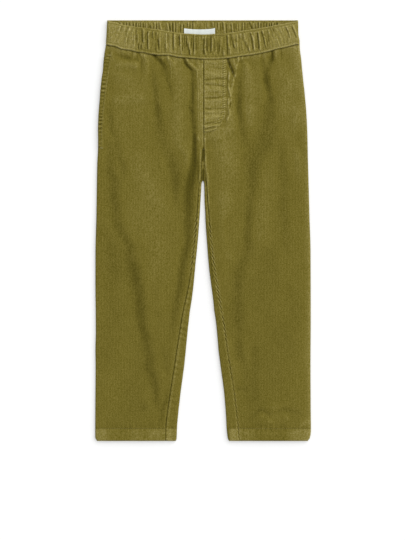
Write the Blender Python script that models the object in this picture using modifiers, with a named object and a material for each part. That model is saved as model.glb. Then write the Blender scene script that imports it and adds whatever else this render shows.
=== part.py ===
"""Child's pull-on tapered trousers in fine corduroy, laid flat with the front up.

X runs across the garment, Y up it to the waist, and Z up from the surface that it lies on.
The origin is on that surface, under the middle of the garment. The wearer's right leg is
at -X. Sizes are in millimetres, and a level is a distance down from the waist's top edge.
Each panel is a wall between a grid of outer points and the same points moved inwards.
"""
import bmesh
import bpy
import numpy as np

# Driving dimensions, in millimetres
LENGTH = 630.8            # waist edge to hem
WALL = 1.5                # cloth of the legs
LAYER_GAP = 2.2           # between front and back cloth along an edge
SEAM_GAP = 0.3            # between two pieces that are sewn together
CENTRE_FRONT = 1.2        # where the centre-front seam lies
CENTRE_BACK = -15.8       # where the waistband's own join lies
CROTCH = 194.0            # level where the legs part
BACK_BAND_DEPTH = 36.0    # level of the waistband's lower edge on the back and at both ends
BAND_WALL = 3.0           # elastic casing
BAND_STACK = 7.6          # both layers of the waistband
GATHERS = 45              # on each side of the waistband
FRONT_GATHER = 0.8        # height of a gather above and below the front casing
BACK_GATHER = 0.3         # the same on the inner face of the back casing
FLY_WIDTH = 34.3
FLY_STRAIGHT_END = 128.0  # level where its edge starts to curve to the centre seam
FLY_END = 168.0
FLY_ROUNDNESS = 2.2       # exponent of the curve
TOPPING = 0.8             # thickness of the fly and of a turned pocket edge
POCKET_TOP = 53.5
POCKET_END = 191.0
LEFT_FLAP = 8.0           # how far the left front rolls under
HEM_TOP = 612.0
HEM_RAISE = 0.7
PILLOW = 0.6              # soft rise of the front, away from its edges
PILLOW_WIDTH = 12.0
LABEL_SIZE = (46.4, 22.0, 0.7)
LABEL_X = -5.2
LABEL_TOP = 12.0

STACK = 2 * WALL + LAYER_GAP
EDGE = STACK / 2          # radius of a folded edge
TOPPING_LIFT = SEAM_GAP + TOPPING
MM = 0.001

# Outline: level, right leg's side edge, left leg's side edge
SIDES = (
    (0, -143.7, 142.7),
    (36, -146.0, 145.4),
    (57, -148.6, 147.3),
    (84, -151.2, 149.9),
    (120, -155.2, 153.7),
    (156, -157.6, 156.0),
    (204, -158.1, 157.4),
    (288, -159.9, 159.7),
    (348, -161.4, 161.4),
    (444, -160.7, 161.7),
    (516, -161.0, 161.0),
    (588, -161.6, 161.7),
    (620, -161.6, 161.5),
    (627, -161.0, 160.3),
    (630.8, -159.6, 158.4),
)

# Inner legs: level, right leg's inner edge, left leg's inner edge, then how far the inseam
# lies in from each edge, because the backs wrap round to the front
INNER_LEGS = (
    (194, 0.1, 0.9, 2.9, 2.9),
    (225, -0.1, 0.7, 3.1, 3.1),
    (240, -2.0, 1.2, 3.5, 3.7),
    (252, -3.1, 2.6, 3.9, 4.2),
    (288, -4.9, 4.1, 4.6, 5.4),
    (324, -7.6, 5.6, 5.2, 6.6),
    (372, -12.0, 9.3, 6.0, 8.0),
    (420, -17.4, 15.6, 9.4, 9.8),
    (468, -23.2, 20.8, 12.4, 12.2),
    (516, -28.2, 26.1, 14.8, 14.0),
    (564, -34.4, 32.3, 16.0, 15.2),
    (612, -38.9, 35.4, 17.2, 17.3),
    (627, -39.9, 37.4, 16.8, 17.0),
    (630.8, -41.3, 39.4, 15.6, 15.4),
)

# Front of the waistband: x, level of its top edge, level of its lower seam
FRONT_BAND = (
    (-143.0, 2.2, 36.0),
    (-121.0, 7.6, 41.9),
    (-100.5, 11.6, 46.2),
    (-73.5, 15.2, 50.1),
    (-49.0, 18.1, 52.4),
    (-18.0, 20.4, 54.3),
    (17.0, 20.4, 57.3),
    (43.5, 18.1, 55.2),
    (74.6, 14.4, 51.2),
    (105.5, 9.6, 44.1),
    (126.0, 5.4, 38.4),
    (143.0, 3.0, 36.0),
)

# Largest folds of the front: x and level of one end, of the other end, how far the middle
# bows towards +X, half-width, and height (below 0 for a trough)
FOLDS = (
    (-69.0, 53.0, -51.0, 78.0, 2.0, 5.0, -1.5),
    (-93.0, 58.0, -94.5, 78.0, 0.0, 4.5, -0.8),
    (-71.0, 90.0, -70.0, 128.0, 1.0, 9.0, -0.8),
    (-27.0, 60.0, -13.5, 160.0, 3.0, 6.0, -1.7),
    (-13.5, 150.0, -28.0, 252.0, 4.0, 7.0, -1.6),
    (-28.0, 250.0, -21.0, 330.0, 0.0, 9.0, -0.8),
    (-19.0, 62.0, -9.5, 74.0, 0.0, 4.0, 0.8),
    (37.5, 60.0, 45.0, 80.0, 0.0, 4.5, -1.4),
    (41.0, 98.0, 40.0, 124.0, 0.0, 4.0, 0.6),
    (56.0, 86.0, 52.0, 145.0, 1.0, 9.0, -0.8),
    (103.5, 44.0, 102.5, 64.0, 0.0, 4.0, -0.8),
    (92.0, 68.0, 99.0, 120.0, 3.0, 9.0, -0.8),
    (94.0, 182.0, 72.5, 335.0, -9.0, 14.0, -1.0),
    (-50.0, 176.0, -40.0, 232.0, 0.0, 10.0, -0.7),
    (-132.0, 222.0, -97.0, 440.0, -10.0, 14.0, -0.9),
    (-99.0, 430.0, -61.0, 588.0, 4.0, 13.0, -0.9),
    (2.0, 88.0, 34.0, 88.5, 0.0, 4.5, -0.9),
    (2.0, 117.0, 34.0, 113.5, 0.0, 4.5, -0.8),
    (60.0, 196.0, 24.0, 246.0, 5.0, 12.0, 0.6),
    (-74.0, 236.0, -62.0, 400.0, 4.0, 20.0, 0.6),
)
DEEPEST_FOLD = -2.2
HIGHEST_FOLD = 1.0

# Rows of points down the legs, closer where there are folds, at the crotch and at the hem
LEG_ROWS = np.array((
    BACK_BAND_DEPTH + SEAM_GAP, 45, POCKET_TOP, 63, 72, 81, 90, 100, 110, 120, 131, 143, 154, 162,
    167.6, 179, POCKET_END, CROTCH - 0.3, CROTCH + 0.3, 204, 220, 240, 265, 295, 330, 370, 415,
    465, 520, 570, HEM_TOP - 0.5, HEM_TOP + 0.5, 626.5, LENGTH,
))
CROTCH_ROW = int(np.searchsorted(LEG_ROWS, CROTCH))
DROP_END = 110.0          # below this level a row is straight across
# Angles round a folded edge: -90 is underneath, 0 outermost and 90 on top
RIGHT_FRONT_ANGLES = (-12, 20, 50, 72, 90)
RIGHT_BACK_ANGLES = (-24, -55, -90)
LEFT_FRONT_ANGLES = (-90, -50, 0, 50, 90)
INNER_LEG_ANGLES = (-45, 0, 45, 90)
POCKET_COLUMNS = (5.5, 9.0)   # distances in from the right side edge
FLY_COLUMNS = 5
# Heights down the waistband as parts of its depth, how much of a gather shows at each, and
# how much its edges are rounded there
BAND_ROWS = ((0.0, 0.0, 0.7), (0.12, 0.3, 0.1), (0.5, 1.0, 0.0), (0.88, 0.5, 0.1), (1.0, 0.0, 0.7))
BAND_ANGLES = (-60, -30, 0, 30, 60)

OLIVE = (0.178, 0.144, 0.027)
LABEL_WHITE = (0.80, 0.84, 0.80)


def smooth(table, column, at):
    """A table's column as a smooth curve over its first column, with no overshoot."""
    place, value = np.array(table, dtype=float)[:, [0, column]].T
    step = np.diff(place)
    rise = np.diff(value) / step
    before, after = rise[:-1], rise[1:]
    same_way = before * after > 0
    between = np.where(same_way, 2 * before * after / np.where(same_way, before + after, 1), 0)
    slope = np.concatenate(([rise[0]], between, [rise[-1]]))
    i = np.clip(np.searchsorted(place, at, side="right") - 1, 0, len(step) - 1)
    t = np.clip((at - place[i]) / step[i], 0, 1)
    return (value[i] * (1 + 2 * t) * (1 - t) ** 2 + step[i] * slope[i] * t * (1 - t) ** 2
            + value[i + 1] * t ** 2 * (3 - 2 * t) + step[i] * slope[i + 1] * t ** 2 * (t - 1))


def side_edge(side, level):
    return smooth(SIDES, 1 if side < 0 else 2, level)


def inner_edge(side, level):
    return smooth(INNER_LEGS, 1 if side < 0 else 2, level)


def inseam(side, level):
    """Where the inseam lies on the front of a leg."""
    return inner_edge(side, level) + side * smooth(INNER_LEGS, 3 if side < 0 else 4, level)


def fly_width(level):
    """Width of the fly, and below it of the columns of the left front that start there."""
    along = np.clip((level - FLY_STRAIGHT_END) / (FLY_END - FLY_STRAIGHT_END), 0, 0.99)
    width = FLY_WIDTH * (1 - along ** FLY_ROUNDNESS) ** (1 / FLY_ROUNDNESS)
    return width + 30 * np.clip((level - FLY_END) / 160, 0, 1)


def drop(x, row):
    """How far a row of the front sinks to follow the waistband's lower seam."""
    fade = np.clip((DROP_END - row) / (DROP_END - BACK_BAND_DEPTH), 0, 1)
    return (smooth(FRONT_BAND, 2, x) - BACK_BAND_DEPTH) * fade


def fold_height(x, level):
    """Sum of the folds at a point: each is a bowed ridge or trough that fades at its ends."""
    total = np.zeros_like(x)
    for x0, level0, x1, level1, bow, half_width, height in FOLDS:
        length = np.hypot(x1 - x0, level1 - level0)
        along = ((x - x0) * (x1 - x0) + (level - level0) * (level1 - level0)) / length ** 2
        aside = ((x - x0) * (level1 - level0) - (level - level0) * (x1 - x0)) / length
        middle = np.clip(4 * along * (1 - along), 0, 1)
        past_end = np.clip(np.abs(along - 0.5) - 0.5, 0, None) * length
        across = np.hypot(aside - bow * middle, past_end)
        total += height * np.exp(-(across / half_width) ** 2)
    return np.clip(total, DEEPEST_FOLD, HIGHEST_FOLD)


def front_height(x, level):
    """Height of the front's outer face above the surface."""
    from_side = np.minimum(x - side_edge(-1, level), side_edge(1, level) - x)
    from_leg_edge = np.maximum(inner_edge(-1, level) - x, x - inner_edge(1, level))
    from_crotch = np.hypot(x - CENTRE_FRONT, CROTCH - level)
    inset = np.minimum(from_side, np.where(level > CROTCH, from_leg_edge, from_crotch))
    inward = np.clip(inset - EDGE, 0, None)
    softness = 1 - np.exp(-inward / PILLOW_WIDTH)
    return STACK + PILLOW * softness + fold_height(x, level) * np.clip(inward / 6, 0, 1)


class Section:
    """One row of a panel: points with x, level and height, and the way that each faces."""

    def __init__(self, row):
        self.row = row
        self.points = []
        self.facing = []

    def add(self, x, level, z, facing_x, facing_z):
        self.points.append((x, level, z))
        self.facing.append((facing_x, 0, facing_z))

    def fold(self, edge, inward, angles, bottom=0.0):
        """Round a folded edge that lies at x = edge, with the cloth inward of it."""
        for angle in np.radians(angles):
            z = bottom + (STACK - bottom) * (1 + np.sin(angle)) / 2
            x = edge + inward * EDGE * (1 - np.cos(angle))
            self.add(x, self.row, z, -inward * np.cos(angle), np.sin(angle))

    def on_top(self, places):
        for x in places:
            level = self.row + drop(x, self.row)
            self.add(x, level, float(front_height(np.array(x), level)), 0, 1)

    def underneath(self, places, height=0.0):
        for x in places:
            self.add(x, self.row, height, 0, -1)


def as_grid(sections):
    """Points and facings of a panel's rows."""
    points = np.array([section.points for section in sections], dtype=float)
    facing = np.array([section.facing for section in sections], dtype=float)
    return points, facing


def front_grid(side):
    """Outer points of a front, each row from its side edge to the centre."""
    inward = -side
    sections = []
    for row in LEG_ROWS:
        section = Section(row)
        edge = side_edge(side, row)
        if row < CROTCH:
            centre = CENTRE_FRONT + side * SEAM_GAP / 2
        else:
            centre = inseam(side, row) + side * SEAM_GAP
        if side < 0:
            section.fold(edge, inward, RIGHT_FRONT_ANGLES)
            section.on_top(edge + np.array(POCKET_COLUMNS))
            section.on_top(np.linspace(edge + POCKET_COLUMNS[-1], centre, 15)[1:])
        else:
            lifted = POCKET_TOP <= row <= POCKET_END
            bottom = TOPPING_LIFT if lifted else 0.0
            section.underneath([edge - LEFT_FLAP], bottom)
            section.fold(edge, inward, LEFT_FRONT_ANGLES, bottom)
            fly_edge = centre + fly_width(row)
            section.on_top(np.linspace(edge - EDGE, fly_edge, 12)[1:])
            section.on_top(np.linspace(fly_edge, centre, FLY_COLUMNS + 1)[1:])
        sections.append(section)
    return as_grid(sections)


def back_grid(side):
    """Outer points of a back, each row from its side seam round to the inseam."""
    inward = -side
    sections = []
    for row in LEG_ROWS:
        section = Section(row)
        edge = side_edge(side, row)
        if side < 0:
            section.fold(edge, inward, RIGHT_BACK_ANGLES)
            start = edge + EDGE
        else:
            start = edge - LEFT_FLAP - SEAM_GAP
            section.underneath([start])
        if row < CROTCH:
            down = (row - BACK_BAND_DEPTH) / (CROTCH - BACK_BAND_DEPTH)
            end = CENTRE_BACK + (CENTRE_FRONT - CENTRE_BACK) * down + side * SEAM_GAP / 2
            leg_edge = end
        else:
            leg_edge = inner_edge(side, row)
            end = leg_edge + side * EDGE
        section.underneath(np.linspace(start, end, 5)[1:])
        section.fold(leg_edge, side, INNER_LEG_ANGLES)
        section.on_top(np.linspace(leg_edge + side * EDGE, inseam(side, max(row, CROTCH)), 3)[1:])
        sections.append(section)
    return as_grid(sections)


def wall(name, outer, inner, colour, kept=None):
    """Closed solid between an outer and an inner grid of points, over the cells kept."""
    grids = (outer, inner)
    rows, columns = outer.shape[:2]
    cells = [(r, c) for r in range(rows - 1) for c in range(columns - 1) if kept is None or kept(r, c)]
    shape = bmesh.new()
    made = {}

    def corner(layer, place):
        if (layer, place) not in made:
            x, level, z = grids[layer][place]
            made[layer, place] = shape.verts.new((x * MM, (LENGTH / 2 - level) * MM, z * MM))
        return made[layer, place]

    sides = set()
    for r, c in cells:
        ring = ((r, c), (r + 1, c), (r + 1, c + 1), (r, c + 1))
        shape.faces.new([corner(0, place) for place in ring])
        shape.faces.new([corner(1, ring[i]) for i in (0, 3, 2, 1)])
        sides.update(zip(ring, ring[1:] + ring[:1]))
    for a, b in sorted(sides):
        if (b, a) not in sides:
            shape.faces.new([corner(0, b), corner(0, a), corner(1, a), corner(1, b)])
    bmesh.ops.triangulate(shape, faces=shape.faces[:], quad_method="FIXED")
    bmesh.ops.recalc_face_normals(shape, faces=shape.faces[:])
    mesh = bpy.data.meshes.new(name)
    shape.to_mesh(mesh)
    shape.free()
    return add_object(name, mesh, colour)


def add_object(name, mesh, colour):
    mesh.shade_smooth()
    mesh.set_sharp_from_angle(angle=np.radians(50))
    material = bpy.data.materials.new(name)
    material.use_nodes = True
    finish = material.node_tree.nodes["Principled BSDF"]
    finish.inputs["Base Color"].default_value = (*colour, 1)
    finish.inputs["Roughness"].default_value = 0.85
    finish.inputs["Metallic"].default_value = 0.0
    mesh.materials.append(material)
    piece = bpy.data.objects.new(name, mesh)
    garment.objects.link(piece)
    return piece


def raised_hem(points, facing):
    """Outer points with the turned hem's extra thickness, on the faces that look up."""
    upward = np.clip(facing[:, :, 2:], 0, 1)
    in_hem = (LEG_ROWS > HEM_TOP)[:, None, None]
    return points + np.where(in_hem, HEM_RAISE * upward, 0) * facing


def topping(name, points, facing, rows, columns):
    """A flat piece that lies on part of a panel, made from the panel's own points."""
    base = points[rows, columns]
    out = facing[rows, columns]
    return wall(name, base + TOPPING_LIFT * out, base + SEAM_GAP * out, OLIVE)


def make_fronts():
    rows_of_pocket = slice(int(np.searchsorted(LEG_ROWS, POCKET_TOP)),
                           int(np.searchsorted(LEG_ROWS, POCKET_END)) + 1)
    rows_of_fly = slice(0, int(np.searchsorted(LEG_ROWS, FLY_END)))
    for side, name in ((-1, "right"), (1, "left")):
        points, facing = front_grid(side)
        wall("front_" + name, raised_hem(points, facing), points - WALL * facing, OLIVE)
        if side < 0:
            columns = slice(2, len(RIGHT_FRONT_ANGLES) + len(POCKET_COLUMNS))
        else:
            columns = slice(0, 3)
            topping("mock_fly", points, facing, rows_of_fly, slice(-FLY_COLUMNS - 1, None))
        topping("pocket_edge_" + name, points, facing, rows_of_pocket, columns)


def make_backs():
    for side, name in ((-1, "right"), (1, "left")):
        points, facing = back_grid(side)
        flat_cells = points.shape[1] - 1 - len(INNER_LEG_ANGLES) - 2

        def kept(row, column):
            return column < flat_cells or row >= CROTCH_ROW

        wall("back_" + name, raised_hem(points, facing), points - WALL * facing, OLIVE, kept)


def gather_place(u):
    """Gathers are uneven: where the gather that is a part u along the waist really lies."""
    return u + 0.004 * np.sin(2 * np.pi * 7 * u) + 0.0018 * np.sin(2 * np.pi * 19 * u + 1.3)


def waist_x(u, level):
    """x of a part u of the way across the flat of the waistband, from -X to +X."""
    radius = BAND_STACK / 2
    left, right = side_edge(-1, level) + radius, side_edge(1, level) - radius
    return left + (right - left) * u


def band_level(x, part):
    """Level at a part of the way down the front of the waistband."""
    top = smooth(FRONT_BAND, 1, x)
    return top + part * (smooth(FRONT_BAND, 2, x) - top)


def make_waistband():
    """One strip: from the centre-back join round the right end, the front and the left end."""
    outer, inner = [], []
    radius = BAND_STACK / 2

    def end_of_band(side, angles):
        for angle in np.radians(angles):
            lift = (1 + np.sin(angle)) / 2
            column_out, column_in = [], []
            for part, _, rounding in BAND_ROWS:
                top = lift * smooth(FRONT_BAND, 1, side * 143.0)
                level = top + part * (BACK_BAND_DEPTH - top)
                x = side_edge(side, level) - side * radius * (1 - np.cos(angle))
                z = BAND_STACK * lift
                column_in.append((x - side * BAND_WALL * np.cos(angle), level, z - BAND_WALL * np.sin(angle)))
                z -= rounding * max(0, np.sin(angle))
                column_out.append((x - side * rounding * np.cos(angle), level, z))
            outer.append(column_out)
            inner.append(column_in)

    def back_stretch(places):
        for u in places:
            wave = np.cos(2 * np.pi * GATHERS * u)
            column_out, column_in = [], []
            for part, gather, _ in BAND_ROWS:
                level = part * BACK_BAND_DEPTH
                x = waist_x(gather_place(u), level)
                under_label = abs(x - LABEL_X) < LABEL_SIZE[0] / 2 + 4
                height = BACK_GATHER * (0.4 if under_label else 1.0) * gather * wave
                column_out.append((x, level, 0))
                column_in.append((x, level, BAND_WALL + height))
            outer.append(column_out)
            inner.append(column_in)

    def front_stretch(places):
        for u in places:
            calm_ends = np.clip(min(u, 1 - u) * 22, 0, 1)
            depth = FRONT_GATHER * calm_ends * (0.8 + 0.2 * np.sin(37 * u))
            wave = np.cos(2 * np.pi * GATHERS * u)
            middle = waist_x(gather_place(u), BACK_BAND_DEPTH / 2)
            lean = (smooth(FRONT_BAND, 2, middle + 4) - smooth(FRONT_BAND, 2, middle - 4)) / 8
            column_out, column_in = [], []
            for part, gather, rounding in BAND_ROWS:
                x = waist_x(gather_place(u), band_level(middle, part))
                x -= lean * calm_ends * (part - 0.5) * 34
                level = band_level(x, part)
                column_out.append((x, level, BAND_STACK - rounding + depth * gather * wave))
                column_in.append((x, level, BAND_STACK - BAND_WALL))
            outer.append(column_out)
            inner.append(column_in)

    left, right = waist_x(0, 0), waist_x(1, 0)
    join = (CENTRE_BACK - left) / (right - left)
    half_gap = SEAM_GAP / 2 / (right - left)
    steps = np.arange(2 * GATHERS + 1) / (2 * GATHERS)
    back_stretch([join - half_gap, *steps[steps < join - 0.004][::-1]])
    end_of_band(-1, BAND_ANGLES)
    front_stretch(np.arange(4 * GATHERS + 1) / (4 * GATHERS))
    end_of_band(1, BAND_ANGLES[::-1])
    back_stretch([*steps[steps > join + 0.004][::-1], join + half_gap])
    wall("waistband", np.array(outer), np.array(inner), OLIVE)


def make_label():
    """Blank woven label: a flat strip on the inner face of the back casing."""
    width, depth, thickness = LABEL_SIZE
    bpy.ops.mesh.primitive_grid_add(x_subdivisions=6, y_subdivisions=2, size=1)
    sheet = bpy.context.object
    mesh = sheet.data
    floor = BAND_WALL + 0.4 * BACK_GATHER + SEAM_GAP
    for vertex in mesh.vertices:
        across, down = vertex.co.x, 0.5 - vertex.co.y
        sag = 1.2 * (1 - (2 * across) ** 2) * (1 - down)
        level = LABEL_TOP + sag + depth * down
        vertex.co = ((LABEL_X + across * width) * MM, (LENGTH / 2 - level) * MM, floor * MM)
    bpy.data.objects.remove(sheet)
    label = add_object("label", mesh, LABEL_WHITE)
    thicken = label.modifiers.new("Thickness", "SOLIDIFY")
    thicken.thickness = thickness * MM
    thicken.offset = 1


for old in list(bpy.data.objects):
    bpy.data.objects.remove(old, do_unlink=True)
garment = bpy.data.collections.new("tapered_trousers")
bpy.context.scene.collection.children.link(garment)

make_fronts()
make_backs()
make_waistband()
make_label()
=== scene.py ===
import bmesh
import bpy
import numpy as np
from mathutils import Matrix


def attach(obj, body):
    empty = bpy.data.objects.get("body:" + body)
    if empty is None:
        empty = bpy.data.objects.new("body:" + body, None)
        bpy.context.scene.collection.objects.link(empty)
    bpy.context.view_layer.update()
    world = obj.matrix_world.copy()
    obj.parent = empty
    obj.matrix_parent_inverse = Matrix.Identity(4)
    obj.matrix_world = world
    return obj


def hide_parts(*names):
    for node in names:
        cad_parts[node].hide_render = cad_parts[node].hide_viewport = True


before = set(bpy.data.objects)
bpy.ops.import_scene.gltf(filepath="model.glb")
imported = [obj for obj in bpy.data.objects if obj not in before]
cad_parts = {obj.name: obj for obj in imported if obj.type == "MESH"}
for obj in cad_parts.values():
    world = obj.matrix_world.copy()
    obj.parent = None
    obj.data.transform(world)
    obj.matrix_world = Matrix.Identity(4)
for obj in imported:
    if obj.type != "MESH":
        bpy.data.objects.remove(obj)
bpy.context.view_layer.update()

# ---------------------------------------------------------------------------------------
# Right front. One cut of olive cotton corduroy, from the waistband to the hem. It is sewn
# to the left front down the centre and to the back along the inseam, and its side edge is
# turned at the pocket.

# Lengths are in millimetres, and a level is a distance below the waist. The wearer's right
# leg is at -X, and "out" is a distance from X = 0 towards the side of the leg.
MM = 0.001
LENGTH = 630.8
WAIST_Y = LENGTH / 2
STACK = 5.2               # front and back layers together, along a folded edge
EDGE = STACK / 2
CLOTH = 1.3
SEAM = 0.12
CENTRE_SEAM = 1.2
CROTCH = 194.0
SEAM_AT_BACK = 36.0       # level of the waistband's lower seam at the sides and behind
HEM = 612.0
HEM_RAISE = 0.6
WALE = 25.4 / 11          # one rib of the corduroy: 11 to the inch
WALE_HEIGHT = 0.3

RIGHT_SIDE = (            # level, out
    (0, 143.9), (36, 146.1), (50, 148.3), (60, 149.3), (75, 150.6), (90, 152.8), (120, 155.4),
    (150, 157.5), (165, 157.9), (180, 157.7), (195, 157.9), (216, 158.9), (288, 160.1), (348, 161.5),
    (396, 161.6), (444, 161.1), (468, 161), (495, 161.6), (516, 161.3), (588, 161.8), (622, 162),
    (627, 161.6), (630.8, 159.2),
)
RIGHT_INNER = (           # level, out to the inner edge, how far in from it the inseam lies
    (194, -0.6, 0.9), (203, -0.6, 2), (216, -0.7, 3), (239.5, -0.5, 3.5), (243, 2, 3.5), (252, 2.5, 3.9),
    (270, 3.5, 4.3), (288, 4.6, 4.6), (324, 7.1, 5.2), (372, 11.8, 6), (390, 13.4, 7.2), (420, 17, 9.4),
    (435, 19.4, 10.4), (468, 23.1, 12.4), (516, 27.9, 14.8), (564, 34.2, 16), (612, 38.9, 17.2),
    (627, 39.5, 16.8), (630.8, 40.5, 15.6),
)
BAND_SEAM = (            # x, level of the waistband's lower seam on the front
    (-145, 36.6), (-140, 37.4), (-134, 38.4), (-130, 39.4), (-125, 41.8), (-121.5, 43.2), (-115, 43.9),
    (-109, 44.7), (-104, 45.9), (-100, 47.3), (-95, 47.8), (-89, 48.2), (-84, 49.6), (-79, 50.5),
    (-74, 50.9), (-69, 51.9), (-64, 52.3), (-54, 52), (-49, 52.5), (-44, 53.8), (-39, 54.8), (-29, 55.8),
    (-19, 56.6), (-9, 57.4), (1, 58.2), (12, 58.3), (22, 58), (31, 57.2), (41, 56.1), (51, 54.6),
    (60, 53.2), (71, 52), (80, 50.5), (90, 48.5), (100, 46.1), (110, 43), (120, 41), (130, 38.6),
    (140, 35.9), (145, 35.4),
)
# Folds that run down the leg: level, x, half-width, and height, below 0 for a trough
RIGHT_FOLDS = (
    ((56, -29, 1.8, -1.4), (62, -27.2, 2.2, -2.5), (66, -25.3, 2.4, -2.6), (70, -21.8, 2.5, -2.5),
     (73, -18.8, 2.6, -2.2), (77, -16, 3.4, -1.4), (85, -16.2, 3.8, -1.2), (98, -16.2, 3.4, -1.8),
     (108, -16.2, 3.2, -1.9), (120, -16.5, 3.3, -1.9), (128, -17, 4.2, -1.4), (145, -16.2, 4.6, -1.4),
     (159, -14.8, 3.8, -1.6), (172, -13.6, 3.2, -2.2), (186, -13.5, 3.4, -2.5), (212, -14, 4.6, -2.7),
     (240, -19, 7, -2.7), (262, -22, 8, -2.1), (280, -22, 8, -2), (300, -23, 8.5, -1.6),
     (325, -23, 7, -1.6), (340, -25, 6.5, -1.7), (355, -28.5, 6.5, -1.6), (372, -32, 6, -1.5),
     (405, -36.5, 6, -1.4), (430, -41, 6, -0.8), (450, -46, 6, -0.6), (470, -47, 5, -0.4),
     (490, -49, 5, 0)),
    ((44, -79, 3.2, -1), (52, -73.5, 4, -2.6), (60, -66, 4.4, -2.3), (67, -60.5, 4.6, -1.8),
     (76, -57, 5, -1), (88, -54.5, 4, -0.5), (102, -49.5, 3.2, -0.8), (114, -48.5, 3, -0.5),
     (128, -48.5, 3, 0)),
    ((60, -80, 4, 0), (75, -77, 5, -0.5), (96, -74, 5.5, -0.9), (118, -71, 5, -0.8), (134, -69, 5, -1.45),
     (150, -67.5, 7, -0.9), (165, -64.5, 10, -0.75), (178, -62, 12, -0.75), (190, -59, 13, -0.75),
     (212, -48, 10, -1), (246, -42, 8, -1.2), (265, -42, 5, -0.6), (285, -42, 5, 0)),
    ((80, -136, 6, 0), (96, -137.5, 6, -0.4), (112, -139, 6, -0.3), (134, -140, 6, -0.7),
     (150, -139.5, 6, -1.1), (162, -139, 7, -0.9), (180, -131, 7, -0.6), (205, -127, 7, -0.6),
     (220, -121, 6, -0.6), (234, -121, 5, -0.3), (245, -120, 4, 0)),
    ((170, -144, 6, 0), (190, -142, 8, -0.7), (214, -141, 9, -0.8), (232, -139, 9, -1),
     (242, -134, 9, -0.9), (268, -135, 8, -0.95), (282, -132.5, 8.5, -0.9), (297, -131, 8.5, -0.75),
     (310, -127, 9, -0.95), (325, -119.5, 9, -1), (340, -112.5, 9.5, -1.1), (355, -111.5, 9.5, -1.15),
     (370, -106.5, 9.5, -1.4), (385, -103, 9.5, -1.5), (400, -100, 9.5, -1.3), (415, -96.5, 9, -1.2),
     (430, -95, 9, -1.4), (460, -93, 8.5, -1.35), (475, -88, 8.5, -1.3), (490, -86, 8.5, -1.2),
     (505, -82, 8.5, -1), (520, -82, 8, -1.1), (535, -76.5, 7.5, -1), (550, -73.5, 7, -1.05),
     (565, -72, 6.5, -0.8), (590, -66, 6, 0)),
    ((490, -58, 5, 0), (505, -57, 5.5, -0.4), (520, -56, 5.5, -0.4), (535, -52, 4.5, -0.25),
     (550, -51.5, 4, -0.3), (565, -54.5, 4, -0.75), (592, -63, 4, -0.7), (608, -66, 6, -0.2)),
    ((50, -96, 2, -0.6), (62, -92.5, 2.4, -1.2), (72, -93, 3, -0.9), (84, -94, 3, -0.3), (94, -97, 3, 0)),
    ((50, -90, 2, 0.3), (58, -85.5, 3, 0.8), (74, -84, 3, 0.4), (84, -84, 3, 0)),
    ((54, -57, 3, 0.3), (60, -48.5, 3.8, 1.5), (70, -44, 4.5, 1), (82, -42, 5, 0.6), (120, -42, 4, 0)),
    ((60, -38, 7, 0.5), (90, -33, 6, 0.6), (125, -37, 9, 0.6), (180, -36, 10, 0.8), (192, -30, 7, 0.8),
     (205, -24.5, 5, 0.9), (230, -28, 4, 0)),
    ((196, -98, 12, 0.1), (222, -92, 14, 0.35), (252, -81, 14, 0.35), (268, -75, 14, 0.45),
     (290, -72, 20, 0.45), (308, -80, 16, 0.35), (335, -72, 18, 0.25), (370, -78, 12, 0.3),
     (390, -77, 10, 0.1), (402, -74, 9, -0.45), (424, -72, 9, -0.35), (445, -68, 9, -0.3),
     (470, -62, 10, 0)),
    ((305, -140, 16, 0), (340, -138, 15, -0.45), (370, -136, 16, -0.6), (390, -134, 15, -0.35),
     (410, -136, 14, 0)),
)
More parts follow.
